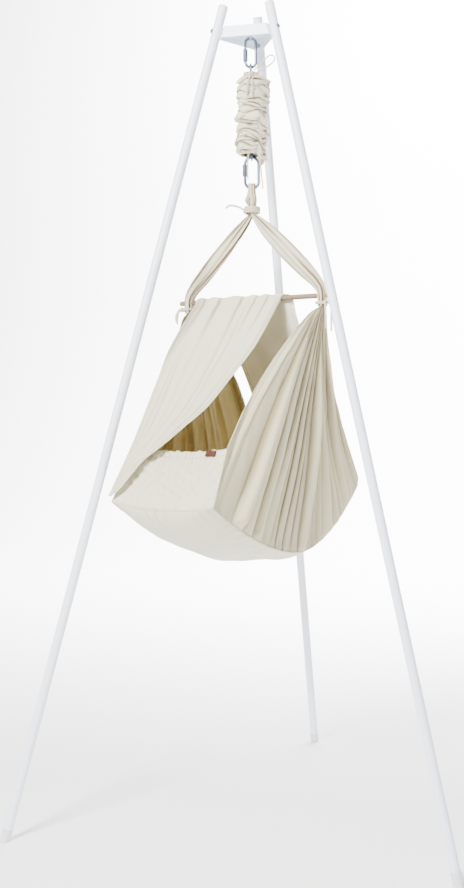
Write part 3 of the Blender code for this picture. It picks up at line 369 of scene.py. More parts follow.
def twisted_cotton(name, colour):
    """Soft cotton cord with its strands laid round it."""
    look = Look(name, Roughness=0.9, Sheen_Weight=0.3)
    place = look.place()
    strands = look.bands(place, 0.0021, Distortion=2, Detail=1)
    fibres = look.noise(place, 900)
    # painted shade: the cord is darker in the low grooves between its strands
    base = look.mix(dim(colour, 0.8), colour, strands, 0.35)
    base = look.mix(base, dim(colour, 0.88), fibres, 0.3)
    return look.done(base, look.plus(strands, look.times(fibres, 0.5)), 0.5, 0.0005)


def powder_coat(name, colour, roughness):
    """White powder coat: a fine even orange peel under a satin gloss."""
    look = Look(name)
    place = look.place()
    cloud = look.noise(place, 6)
    base = look.mix(colour, dim(colour, 0.955), cloud, 0.25)
    return look.done(base, look.noise(place, 520, 2), 0.12, 0.0003,
                     look.plus(look.times(cloud, 0.08), roughness))


def zinc(name, colour, roughness):
    """Passivated zinc plate: blue-grey, with faint patches and fine scratches."""
    look = Look(name, Metallic=1)
    place = look.place()
    patch = look.noise(place, 160, 4, 0.6)
    scratch = look.noise(look.place(scale=(300, 300, 4000)), 1, 2)
    base = look.mix(colour, dim(colour, 0.72), patch)
    base = look.mix(base, (colour[0] * 0.85, colour[1] * 0.9, colour[2] * 1.12),
                    look.noise(place, 70), 0.35)
    return look.done(base, look.plus(patch, scratch), 0.1, 0.0002,
                     look.plus(look.times(patch, 0.22), roughness))


END_GRAIN_FROM = 0.224              # half the bar's length, less a hair


def wood(name):
    """A turned hardwood bar: long grain along it and open end grain on its two faces."""
    look = Look(name, Roughness=0.62)
    grain = look.noise(look.place(scale=(7, 170, 170), turn=-CRADLE_TURN), 1, 6, 0.62)
    pores = look.noise(look.place(scale=(60, 1500, 1500), turn=-CRADLE_TURN), 1)
    base = look.mix((0.27, 0.19, 0.105), (0.155, 0.1, 0.052), grain)
    open_pores = look.number("GREATER_THAN", pores, 0.6)
    base = look.mix(base, (0.12, 0.07, 0.035), open_pores, 0.45)
    along = look.node("SeparateXYZ", "X", Vector=look.place(turn=-CRADLE_TURN))
    end = look.number("GREATER_THAN", look.off(along, sin(CRADLE_TURN) * AXIS_Y),
                      END_GRAIN_FROM)
    base = look.mix(base, (0.1, 0.04, 0.018), end, 0.85)
    return look.done(base, look.plus(grain, pores), 0.25, 0.0004)


def leather(name):
    look = Look(name, Specular_IOR_Level=0.15)
    place = look.place()
    cells = look.node("TexVoronoi", "Distance", Vector=place, Scale=1400)
    cloud = look.noise(place, 120, 4)
    base = look.mix((0.085, 0.029, 0.015), (0.05, 0.017, 0.009), cloud)
    return look.done(base, cells, 0.35, 0.0003, look.plus(look.times(cloud, 0.2), 0.68))


def moulded(name, colour, roughness):
    look = Look(name)
    place = look.place()
    fine = look.noise(place, 1300, 2)
    base = look.mix(colour, dim(colour, 0.9), look.noise(place, 40), 0.3)
    return look.done(base, fine, 0.2, 0.0002, look.plus(look.times(fine, 0.15), roughness))


def floor_paint(name):
    look = Look(name, Roughness=0.9)
    base = look.mix((0.93, 0.93, 0.93), (0.915, 0.915, 0.918), look.noise(look.place(), 1.5))
    feed(look.shader.inputs["Base Color"], base)
    return look.mat


# the second colour of each cotton is painted shade, put into its creases, folds and seams
CREASE_SHADE = (0.2, 0.138, 0.05)
CLOTH = cotton("cotton_cloth", (0.645, 0.612, 0.44), CREASE_SHADE)
# painted shade: the cloth's inner side is coloured darker and golden, for the light filtered
# through the cloth
SHADED_INSIDE = cotton("cotton_inside_painted_shade", (0.6, 0.48, 0.19), (0.42, 0.305, 0.1))
# painted light: the veil's inner side is coloured paler than the cloth, for the light that shines
# through the thin veil
LIT_VEIL_INSIDE = cotton("cotton_veil_inside_painted_light", (0.9, 0.865, 0.7), CREASE_SHADE)
# painted shade: the side panels are coloured darker and yellower than the cloth, for their shaded,
# backlit folds
SHADED_PANEL = cotton("cotton_panel_painted_shade", (0.61, 0.55, 0.35), (0.14, 0.088, 0.026))
STRAP = cotton("cotton_gathered", (0.66, 0.615, 0.44), (0.135, 0.072, 0.02), stitched=False)
SLEEVE = cotton("cotton_sleeve", (0.67, 0.61, 0.44), (0.13, 0.082, 0.027), stitched=False)
PAD = cotton("cotton_pad", (0.7, 0.64, 0.5), (0.45, 0.36, 0.2), stitched=False, source="Object")
CORD = twisted_cotton("cotton_cord", (0.64, 0.565, 0.4))
PAINT = powder_coat("white_powder_coat", (0.83, 0.885, 0.985), 0.36)
ZINC = zinc("blue_zinc", (0.15, 0.17, 0.225), 0.26)
BRIGHT = zinc("bright_zinc", (0.42, 0.43, 0.46), 0.24)
WOOD = wood("hardwood")
LEATHER = leather("brown_leather")
CAP = moulded("grey_rubber", (0.7, 0.71, 0.74), 0.55)
PLUG = moulded("white_plastic", (0.8, 0.81, 0.84), 0.42)


# ---- mesh making

FABRIC = 0.0016
CORD_RADIUS = 0.0017
TIE_CORD_RADIUS = 0.0024


def baked(obj):
    """A mesh of an object as its modifiers leave it."""
    return bpy.data.meshes.new_from_object(
        obj.evaluated_get(bpy.context.evaluated_depsgraph_get()))


def attach(obj, body, slot, replaces=True):
    """Puts a piece on its body, if it has one, and hides the node it stands for."""
    if body:
        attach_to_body(obj, body)
    if replaces:
        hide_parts(slot)


def modify(obj, kind, **values):
    return settle(obj.modifiers.new(kind.lower(), kind), **values)


def piece(name, points, faces, mats, uv=None, **tints):
    """A smooth-shaded mesh piece, with its weave's coordinates and its tints, such as the painted
    crease shade.
    """
    mesh = bpy.data.meshes.new(name)
    mesh.from_pydata(points.reshape(-1, 3).tolist(), [], faces.tolist())
    mesh.update()
    if uv is not None:
        loops = zeros(len(mesh.loops), dtype=np.int32)
        mesh.loops.foreach_get("vertex_index", loops)
        mesh.uv_layers.new(name="cloth").data.foreach_set("uv", uv.reshape(-1, 2)[loops].ravel())
    for key, values in tints.items():
        layer = mesh.attributes.new(key, "FLOAT", "POINT")
        layer.data.foreach_set("value", np.asarray(values, dtype=np.float32).ravel())
    for mat in mats:
        mesh.materials.append(mat)
    mesh.shade_smooth()
    return link(name, mesh)


def grid_faces(rows, cols, around=False):
    """Quads of a grid of points, rows by cols, joined round if asked."""
    i, j = np.meshgrid(arange(rows - 1), arange(cols if around else cols - 1), indexing="ij")
    n = (j + 1) % cols
    return grid(i * cols + j, i * cols + n, (i + 1) * cols + n, (i + 1) * cols + j).reshape(-1, 4)


def outward(obj, caps=()):
    """Closes a mesh's open ends and turns all its faces outward."""
    bm = bmesh.new()
    bm.from_mesh(obj.data)
    bm.verts.ensure_lookup_table()
    for cap in caps:
        bm.faces.new([bm.verts[k] for k in cap])
    bmesh.ops.recalc_face_normals(bm, faces=bm.faces)
    bm.to_mesh(obj.data)
    bm.free()


def side_distance(points):
    """Metres from each point of a grid to the nearer of its two side edges."""
    step = np.linalg.norm(diff(points, axis=1), axis=2)
    run = concatenate([zeros((len(points), 1)), cumsum(step, axis=1)], axis=1)
    return minimum(run, run[:, -1:] - run)


def sheet_piece(name, points, mats, crease, hemmed=False, flip=False,
                thickness=FABRIC):
    """A cradle's cloth from a grid of points, thickened, with a look for each of its sides."""
    rows, cols = points.shape[:2]
    across, along = lengths(points[rows // 2]), lengths(points[:, cols // 2])
    hem = side_distance(points) if hemmed else ones((rows, cols))
    faces = grid_faces(rows, cols)
    obj = piece(name + "_cloth", in_cradle(points), faces[:, ::-1] if flip else faces, mats,
                grid(across[None, :], along[:, None]), crease=unit(crease), hem=hem)
    modify(obj, "SOLIDIFY", thickness=thickness, offset=0, material_offset=1)
    attach(obj, "cradle", name)


def tube(name, line, radius, mat, body, slot, resolution=4, cyclic=False, replaces=True):
    """A round cord or wire along a line: a filled curve on its body, or a mesh if it has none."""
    curve = bpy.data.curves.new(name, "CURVE")
    settle(curve, dimensions="3D", bevel_depth=radius, bevel_resolution=resolution,
           use_fill_caps=True)
    track = curve.splines.new("POLY")
    track.points.add(len(line) - 1)
    track.points.foreach_set("co", np.c_[line, ones(len(line))].ravel())
    settle(track, use_smooth=True, use_cyclic_u=cyclic)
    curve.materials.append(mat)
    obj = link(name, curve)
    if not body:
        bpy.context.view_layer.update()
        mesh = baked(obj)
        bpy.data.objects.remove(obj)
        obj = link(name, mesh)
    attach(obj, body, slot, replaces)
    return obj


# ---- free cords

COVER_CORD = ("spring_unit", in_hanger, CORD_RADIUS)
LOW_CORD = ("lower_link", in_hanger, CORD_RADIUS)
TIE_CORD = ("cradle", in_cradle, TIE_CORD_RADIUS)
HANGS = ("bare", "limp", "hanging")

FREE_CORDS = (
    # name; body, where and radius; far end, stiffness and lay; route
    ("cover_cord_loop", COVER_CORD, ("object", "medium", "loose"),
     [(0.009, -0.037, 1.803), (0.018, -0.0378, 1.8122), (0.029, -0.038, 1.8228),
      (0.0395, -0.038, 1.8318), (0.047, -0.0379, 1.8363), (0.054, -0.0377, 1.8345),
      (0.0565, -0.0374, 1.8275), (0.0525, -0.0372, 1.8208), (0.041, -0.037, 1.8122),
      (0.026, -0.037, 1.8042), (0.011, -0.037, 1.7968)]),
    ("cover_cord_end_a", COVER_CORD, HANGS,
     [(0.0012, -0.0378, 1.7934), (-0.003, -0.0393, 1.784), (-0.008, -0.0392, 1.765),
      (-0.009, -0.0395, 1.748)]),
    ("cover_cord_end_b", COVER_CORD, HANGS,
     [(0.0058, -0.0378, 1.7934), (0.0055, -0.0394, 1.782), (0.004, -0.0392, 1.762),
      (0.0045, -0.0395, 1.742)]),
    ("cover_low_cord_a", LOW_CORD, HANGS,
     [(-0.006, -0.0262, 1.6206), (-0.008, -0.028, 1.602), (-0.009, -0.029, 1.58),
      (-0.008, -0.029, 1.562)]),
    ("cover_low_cord_b", LOW_CORD, HANGS,
     [(0.0171, -0.0202, 1.6113), (0.021, -0.023, 1.597), (0.0235, -0.026, 1.572),
      (0.0265, -0.027, 1.541)]),
    ("top_tie_end", TIE_CORD, ("bare", "medium", "loose"),
     [(-0.0193, -0.002, 1.4955), (-0.032, -0.006, 1.504), (-0.047, -0.01, 1.509),
      (-0.058, -0.014, 1.51), (-0.066, -0.017, 1.504)]),
    ("right_tie_end_a", TIE_CORD, HANGS,
     [(0.2181, -0.002, 1.2743), (0.224, -0.004, 1.264), (0.225, -0.005, 1.235),
      (0.226, -0.006, 1.206)]),
    ("right_tie_end_b", TIE_CORD, HANGS,
     [(0.212, -0.012, 1.2743), (0.217, -0.0175, 1.261), (0.2185, -0.0185, 1.235),
      (0.219, -0.019, 1.212)]),
    ("left_tie_end_a", TIE_CORD, HANGS,
     [(-0.2167, -0.002, 1.2743), (-0.227, -0.006, 1.2715), (-0.234, -0.009, 1.257),
      (-0.233, -0.01, 1.243)]),
    ("left_tie_end_b", TIE_CORD, HANGS,
     [(-0.2113, -0.0113, 1.2743), (-0.218, -0.018, 1.264), (-0.22, -0.021, 1.249),
      (-0.219, -0.022, 1.236)]),
)


def build_free_cords():
    for name, (body, place, radius), (far_end, stiffness, lay), route in FREE_CORDS:
        line = place(spline(route, 10))
        obj = tube(name + "_cord", line, radius, CORD, body, name)
        float(lengths(line)[-1])


# ---- cradle's form

BASE_HALF_WIDTH = 0.146
NEAR_END = -0.352
FAR_END = 0.244
LOW_POINT = -0.02
SEAM_LOW = 0.689
NEAR_SEAM_RISE = 0.133
FAR_SEAM_RISE = 0.142
BELLY = 0.03
NECK_HEIGHT = 1.263
TIE_PLACE = 0.198
BAR_HEIGHT = 1.2878
END_WALL_HEIGHT = 0.125
FAR_WALL_HEIGHT = 0.09
SEAM_OFF = 0.0006                   # how far a seam's cord stands off the cloth


def seam_height(v):
    near = maximum((LOW_POINT - v) / (LOW_POINT - NEAR_END), 0)
    far = maximum((v - LOW_POINT) / (FAR_END - LOW_POINT), 0)
    return SEAM_LOW + NEAR_SEAM_RISE * near ** 1.65 + FAR_SEAM_RISE * far ** 1.9


def base_surface(across, length, width=BASE_HALF_WIDTH - 0.0008):
    """The base's cloth at shares across and along it."""
    u, length = np.broadcast_arrays(2 * across - 1, length)
    v = NEAR_END + (FAR_END - NEAR_END) * length
    slope = (seam_height(v + 0.002) - seam_height(v - 0.002)) / 0.004
    long = 1 / sqrt(1 + slope ** 2)
    hang = arch(unit(length))
    fullness = (1 - np.abs(u) ** 2.6) * hang ** 0.42
    fullness = fullness * (1 + 0.75 * smooth((0.42 - length) / 0.42))
    dip = 0.012 * (1 - u * u) * (1 - sqrt(hang))
    return grid(u * width, v + BELLY * fullness * slope * long,
                seam_height(v) - dip - BELLY * fullness * long)


def wall_corner(side, near):
    """The top and the bottom of an end wall's edge."""
    end = NEAR_END if near else FAR_END
    bottom = array([side * BASE_HALF_WIDTH, end, seam_height(end)])
    if near:
        lean, draw_in = (0.052, 0) if side > 0 else (0.076, 0.014)
        return bottom + (-side * draw_in, lean, END_WALL_HEIGHT), bottom
    return bottom + (0, -0.074 if side > 0 else -0.05, FAR_WALL_HEIGHT), bottom


def panel_edge(side):
    near_top, near_low = wall_corner(side, True)
    far_top, far_low = wall_corner(side, False)
    v = linspace(NEAR_END, FAR_END, 80)
    t = column(19)
    return vstack([(near_top + (near_low - near_top) * t)[:-1],
                      grid(side * BASE_HALF_WIDTH, v, seam_height(v)),
                      (far_low + (far_top - far_low) * t)[1:]])


def side_panel(side, name):
    """Cloth gathered at the bar's tie and fanned out to the base in irregular folds."""
    cols, rows = 380, 120
    right = side > 0
    other = 0 if right else 1               # the left panel's seeds follow the right one's
    edge = even(panel_edge(side), cols)
    width = float(lengths(edge)[-1])
    foot_u, foot_v, foot_z = edge.T[:, None, :]
    a = row(cols)
    b = linspace(-0.012, 1, rows + 1)[:, None]
    run = unit(b)
    draw = np.random.default_rng(37 if right else 48).uniform
    slack, taut = (0.84, 1.62) if right else (0.62, 1.1)
    loose = 1 - a if right else a
    power = taut + (slack - taut) * smooth(loose * 1.6 - 0.3)
    neck_v = (-0.02 + 0.04 * a) * (0.45 + 0.55 * smooth(run / 0.05))
    u = side * TIE_PLACE + (foot_u - side * TIE_PLACE) * run
    v = neck_v + (foot_v - neck_v) * run ** power
    z = NECK_HEIGHT + (foot_z - NECK_HEIGHT) * b
    u = u - side * 0.018 * smooth(loose * 4 - 3) * arch(run)
    if right:
        # the near third hangs almost smooth, and the rest falls in deep uneven folds
        marks = [0, 0.085, 0.165, 0.225, 0.275] + partition(draw, 0.315, 0.93, 0.018, 0.052)
        marks += [0.962, 1]
    else:
        # the right panel's partition takes its draws here too, so that the seed's folds stay
        partition(draw, 0.315, 0.93, 0.018, 0.052)
        marks = [0] + partition(draw, 0.05, 0.95, 0.022, 0.06) + [1]
    drift = 0.006 * arch(run) * Ripple(5 + other, (0.5, 0.4), (2, 1))(a, run)
    moved, heights, strengths = [], [], []
    for mark, gap, free in with_gaps(marks):
        sway = 0.0045 * drawn_wave(draw, 0.3, 0.8, run) * free
        moved.append(mark + sway * smooth(run / 0.2))
        folded = gap < 0.054
        deep = (0.5 if right else 0.36) if folded else 0.07
        shape = 0.62 + 0.38 * drawn_wave(draw, 0.35, 0.9, run)
        heights.append(deep * gap * width * shape * draw(0.55, 1.25))
        ends = smooth((draw(0.7, 1.4) - run) / 0.35) * smooth((run - draw(-0.3, 0.08)) / 0.12)
        strengths.append(ends * draw(0.35, 1) * (1 if folded else 0.3))
    valley_width = 0.005 + 0.0085 * (1 - run) ** 2
    ridge, valley = ridges(a + drift, moved, heights, valley_width, strengths)
    border = smooth(a / 0.02) * smooth((1 - a) / 0.02)
    spread = 0.3 + 0.7 * smooth(run / 0.42)
    broad = Ripple(31 + other, (1, 0.6), (3.6, 1.6))(a, run)
    fine = Ripple(33 + other, (8, 2), (26, 9))(a, run)
    lift = (ridge - 0.0045) * spread * border
    lift = lift + (0.0016 * broad + 0.00028 * fine) * arch(run) ** 0.6 * border
    # short puckers where the folds are stitched into the base's seam
    few = Ripple(35 + other, (0.6, 0), (3, 0.1))
    size = clip(0.5 + 0.5 * few(a, 0), 0, 1.3)
    pucker = wave(41 * a + 0.6 * few(a + 0.3, 0))
    lift = lift + 0.0011 * size * pucker * smooth((run - 0.93) / 0.05) * border
    lift = lift * smooth((1 - run) / 0.035) ** 0.7
    points = grid(u + side * lift, v, z)
    # painted shade: the mask darkens the fold valleys, the tight gather under the tie, the low
    # cloth between ridges, the pucker hollows and a line along the base seam
    tight = unit(1 - run / 0.22)
    low = unit(1 - ridge / 0.0075) * 0.26 * smooth((1 - loose - 0.3) / 0.12)
    crease = (valley * (1 + 0.4 * tight) * border + 0.34 * tight + low
              + 0.2 * size * unit(-pucker) * smooth((run - 0.94) / 0.05)
              + 0.3 * smooth((run - 0.992) / 0.008))
    sheet_piece(name, points, [SHADED_PANEL, SHADED_INSIDE], crease,
                hemmed=True, flip=right)


def build_base():
    cols, rows = 110, 190
    across, length = row(cols), column(rows)
    points = base_surface(across, length)
    u = 2 * across - 1
    drift = Ripple(71, (0.4, 0.6), (1.6, 2.4))(across, length)
    small = Ripple(72, (2, 3), (7, 11))(across, length)
    ends = arch(length) ** 0.5
    points[..., 2] += (0.0036 * drift + 0.0014 * small) * (1 - u ** 4) * ends
    # puckers where the cloth is gathered into the side seams and the near seam
    few = Ripple(73, (0.8, 0.8), (3, 4))(across, length)
    size = clip(0.6 + 0.6 * few, 0, 1.6)
    for sign in (-1, 1):
        gather = sin(tau * 27 * length + 2.6 * sin(11 * length + sign) + 1.5 * few)
        points[..., 2] += 0.0019 * size * fade(1 - sign * u, 0.13) * gather * ends
    gather = sin(tau * 13 * across + 1.8 * sin(9 * across) + 0.8 * few)
    points[..., 2] += (0.0026 * size * fade(length, 0.055) * (1 - u ** 4) * gather
                       * smooth(length / 0.035))
    # painted shade: the mask darkens the pucker hollows along the near seam and a thin line at the
    # seam itself
    crease = 0.2 * size * fade(length, 0.03) * unit(-gather) + 0.25 * fade(length, 0.006)
    sheet_piece("base_sling", points, [SHADED_INSIDE, CLOTH], crease)


def end_wall(near, name):
    """An end wall with an elastic casing along its gathered top edge."""
    cols, rows = 220, 60
    across, height = row(cols), column(rows)
    other = 0 if near else 1                # the far wall's seeds follow the near one's
    inset = (0.0012, 0, 0)
    left_top = wall_corner(-1, near)[0] + inset
    right_top = wall_corner(1, near)[0] - inset
    low = base_surface(across, 0 if near else 1) + (0, 0, 0.0012)
    sag = 4 * across * (1 - across)
    top = left_top + (right_top - left_top) * across[..., None] - UP * (0.01 * sag)[..., None]
    points = low + (top - low) * height[..., None]
    draw = np.random.default_rng(23 + other).uniform
    border = arch(across) ** 0.35
    marks = [0] + partition(draw, 0.03, 0.97, 0.014, 0.046) + [1]
    reach = [fade(1 - height, draw(0.1, 0.45)) for _ in marks]
    heights = [0.005 * draw(0.4, 1.2) * k for k in reach]
    strengths = [draw(0.3, 1) * k for k in reach]
    sway = 0.006 * (1 - height) * Ripple(81, (0.6, 0.2), (3, 0.8))(across, height)
    ridge, valley = ridges(across + sway, marks, heights, 0.005, strengths)
    broad = Ripple(83 + other, (0.8, 0.5), (3, 1.8))(across, height)
    fine = Ripple(85 + other, (5, 2), (16, 7))
    small = fine(across, height)
    middle = arch(height)
    push = 0.006 * sag * middle + border * (ridge + 0.004 * broad * middle
                                            + 0.0015 * small * middle ** 0.5)
    casing = bell(height, 0.955, 0.022) - bell(height, 0.89, 0.01)
    low_edge = fade(height, 0.05) * clip(fine(across + 0.2, 0), -1, 1)
    push = push + (0.001 * casing + 0.0011 * low_edge * smooth(height / 0.02)) * border
    points[..., 1] += -push if near else push
    points[..., 2] += 0.0012 * border * fine(across, 1) * smooth((height - 0.85) / 0.15)
    # painted shade: the mask darkens the fold valleys, the hollows of the small ripples, a line
    # under the elastic casing and the wavy edge along the base
    crease = (0.8 * valley * border + 0.1 * unit(-small) * middle
              + 0.22 * bell(height, 0.89, 0.012) + 0.16 * unit(low_edge))
    sheet_piece(name, points, [CLOTH, SHADED_INSIDE], crease,
                flip=not near)


# ---- veil

VEIL_LEFT_FRONT = [(-0.148, -0.361, 0.836), (-0.1385, -0.297, 0.938), (-0.146, -0.257, 0.985),
                   (-0.169, -0.16, 1.098), (-0.183, -0.093, 1.178), (-0.17, -0.0082, 1.284)]
VEIL_HEM_FRONT = [(-0.14, -0.362, 0.836), (-0.1176, -0.35, 0.857), (-0.075, -0.326, 0.914),
                  (-0.0305, -0.309, 0.9495), (-0.0047, -0.26, 0.991), (0.0172, -0.2, 1.037),
                  (0.041, -0.13, 1.112), (0.061, -0.07, 1.181), (0.0871, -0.0082, 1.284)]
VEIL_LEFT_BACK = [(-0.16, 0.0082, 1.284), (-0.13, 0.05, 1.205), (-0.113, 0.093, 1.143),
                  (-0.114, 0.16, 1.037), (-0.113, 0.206, 0.94), (-0.113, 0.223, 0.895)]
VEIL_RIGHT_BACK = [(0.111, 0.0082, 1.284), (0.1085, 0.03, 1.238), (0.11, 0.09, 1.138),
                   (0.112, 0.15, 1.037), (0.113, 0.189, 0.94), (0.113, 0.208, 0.895)]
VEIL_RIDE = 0.0076
VEIL_FABRIC = 0.0013
FOLD_OUT = array([0.1, -0.76, 0.6])    # the way the front fall's folds stand out


def between(left, right, across):
    """A cloth from one side's line to the other's."""
    left, right = left[:, None, :], right[:, None, :]
    return left + (right - left) * across[..., None]


def build_veil():
    """One cloth from its tip at the near corner, over the bar and down to the far end."""
    cols, front, over, back = 142, 176, 22, 122
    across = row(cols)
    bunch = wave(5.5 * across + 1.6 * wave(1.3 * across) / tau)    # pushed together on the bar
    # where the bunched cloth tucks together on the bar, used only for painted shade
    tucked = unit(-bunch) ** 5
    middle = arch(across)
    inner = middle ** 0.5
    # the front fall
    t = column(front)[:-1]
    left = even(spline(VEIL_LEFT_FRONT, 20), front)[:-1]
    right = even(spline(VEIL_HEM_FRONT, 20), front)[:-1]
    wide = np.linalg.norm(right - left, axis=1)[:, None]
    one = between(left, right, across)
    full = arch(minimum(t * 1.05, 1)) ** 0.8
    drift = Ripple(91, (0.5, 0.5), (2, 1.6))
    fine = Ripple(92, (3, 3), (11, 9))(across, t)
    draw = np.random.default_rng(95).uniform
    marks = [0, 0.07, 0.13] + partition(draw, 0.2, 0.89, 0.08, 0.17) + [0.955, 1]
    moved, heights, strengths = [], [], []
    for mark, gap, free in with_gaps(marks):
        moved.append(mark + 0.02 * drawn_wave(draw, 0.25, 0.7, t) * free)
        shape = 0.55 + 0.45 * drawn_wave(draw, 0.3, 0.8, t)
        heights.append(0.24 * gap * wide * shape * draw(0.5, 1.2))
        ends = smooth((draw(0.55, 1.3) - t) / 0.3) * smooth((t - draw(-0.3, 0.1)) / 0.15)
        strengths.append(ends * draw(0.2, 0.75))
    ridge, valley = ridges(across, moved, heights, 0.016, strengths, 0.85)
    lift = ridge * (0.3 + 0.7 * full) * smooth((1 - t) / 0.06)
    lift = lift + (0.0022 * drift(across, t) + 0.0005 * fine) * full * inner
    one += lift[..., None] * FOLD_OUT
    pushed = smooth((t - 0.72) / 0.28)
    one[..., 1] -= 0.0045 * full * (1 + wave(2.6 * across + 0.25 * t)) * inner
    one[..., 1] -= (1 + bunch) * pushed * (0.0005 + 0.0022 * smooth((1 - t) / 0.05))
    one[..., 2] -= 0.02 * full * middle
    tail = fade(t, 0.1)
    # painted shade: dark lines along both long edges, the fold valleys (deepest near the tip), and
    # the tucks where the cloth bunches on the bar
    hem = bell(across, 0.952, 0.012) + bell(across, 0.045, 0.014)
    crease_one = (valley * (0.48 + 0.83 * tail) + 0.3 * hem * (0.5 + tail)
                  + 0.75 * tucked * pushed ** 2)
    # over the bar
    s = column(over)
    bar_left = VEIL_LEFT_FRONT[-1][0] + (VEIL_LEFT_BACK[0][0] - VEIL_LEFT_FRONT[-1][0]) * s
    bar_right = VEIL_HEM_FRONT[-1][0] + (VEIL_RIGHT_BACK[0][0] - VEIL_HEM_FRONT[-1][0]) * s
    ride = VEIL_RIDE + 0.0017 * (1 + bunch) * (0.3 + 0.7 * arch(s) ** 0.5)
    two = grid(bar_left + (bar_right - bar_left) * across, -ride * cos(pi * s),
               BAR_HEIGHT + ride * arch(s))
    # the back fall
    t = column(back)[1:]
    left = even(spline(VEIL_LEFT_BACK, 20), back)[1:]
    right = even(spline(VEIL_RIGHT_BACK, 20), back)[1:]
    three = between(left, right, across)
    full = arch(t) ** 0.8
    swing = wave(2 * across + 0.1 * t)
    three[..., 1] += full * (0.005 * (1 + swing) * middle
                             + 0.0018 * drift(across + 0.4, t) * inner)
    # painted shade over the bar's tucks and in the back fall's hollows, where its swing turns
    # inward
    crease = concatenate([crease_one, 0.75 * tucked * np.ones_like(s),
                             0.18 * full * unit(-swing) * middle])
    points = concatenate([one, two, three])
    sheet_piece("veil", points, [CLOTH, LIT_VEIL_INSIDE], crease,
                hemmed=True, thickness=VEIL_FABRIC)


# ---- slings and ties

# a link's bend, wire, top and bottom, its sleeve's foot and radius, and the gap's height in it
UPPER_LINK = (0.01225, 0.00325, 1.88475, 1.81975, 1.833, 0.00615, 0.0015)
LOWER_LINK = (0.016, 0.0035, 1.6168, 1.5458, 1.5733, 0.0064, 0.017)
PLAY = 0.0003

# out along the bar, height, half width and half depth, from the bar to the top tie
SLING_RUN = [(0.198, 1.2635, 0.0135, 0.01), (0.198, 1.278, 0.014, 0.0105),
             (0.198, 1.2878, 0.0145, 0.0105), (0.195, 1.302, 0.015, 0.01),
             (0.182, 1.32, 0.0165, 0.009), (0.155, 1.345, 0.0195, 0.0085),
             (0.115, 1.3815, 0.0215, 0.008), (0.075, 1.418, 0.02, 0.008),
             (0.04, 1.45, 0.016, 0.008), (0.017, 1.473, 0.01, 0.0075),
             (0.0074, 1.485, 0.0066, 0.0062), (0.0072, 1.505, 0.0066, 0.0062)]
LOOP_HALF_WIDTH = 0.0095
LOOP_HALF_DEPTH = 0.0042
RISE_HALF_WIDTH = 0.0075
RISE_HALF_DEPTH = 0.006


def strap_stations(side):
    """A strap from the bar to the top tie: centre, wide, deep, half width, half depth, bend."""
    depth = array([0, 1, 0])
    centres = [array([side * u, side * -0.0035 * smooth((z - 1.45) / 0.04), z])
               for u, z, _, _ in SLING_RUN]
    made = []
    for i, (_, _, half_width, half_depth) in enumerate(SLING_RUN):
        ahead = centres[min(i + 1, len(centres) - 1)] - centres[max(i - 1, 0)]
        ahead[1] = 0
        wide = np.cross(depth, ahead / np.linalg.norm(ahead))
        made.append((centres[i], wide, depth * side, half_width, half_depth, 0))
    return made


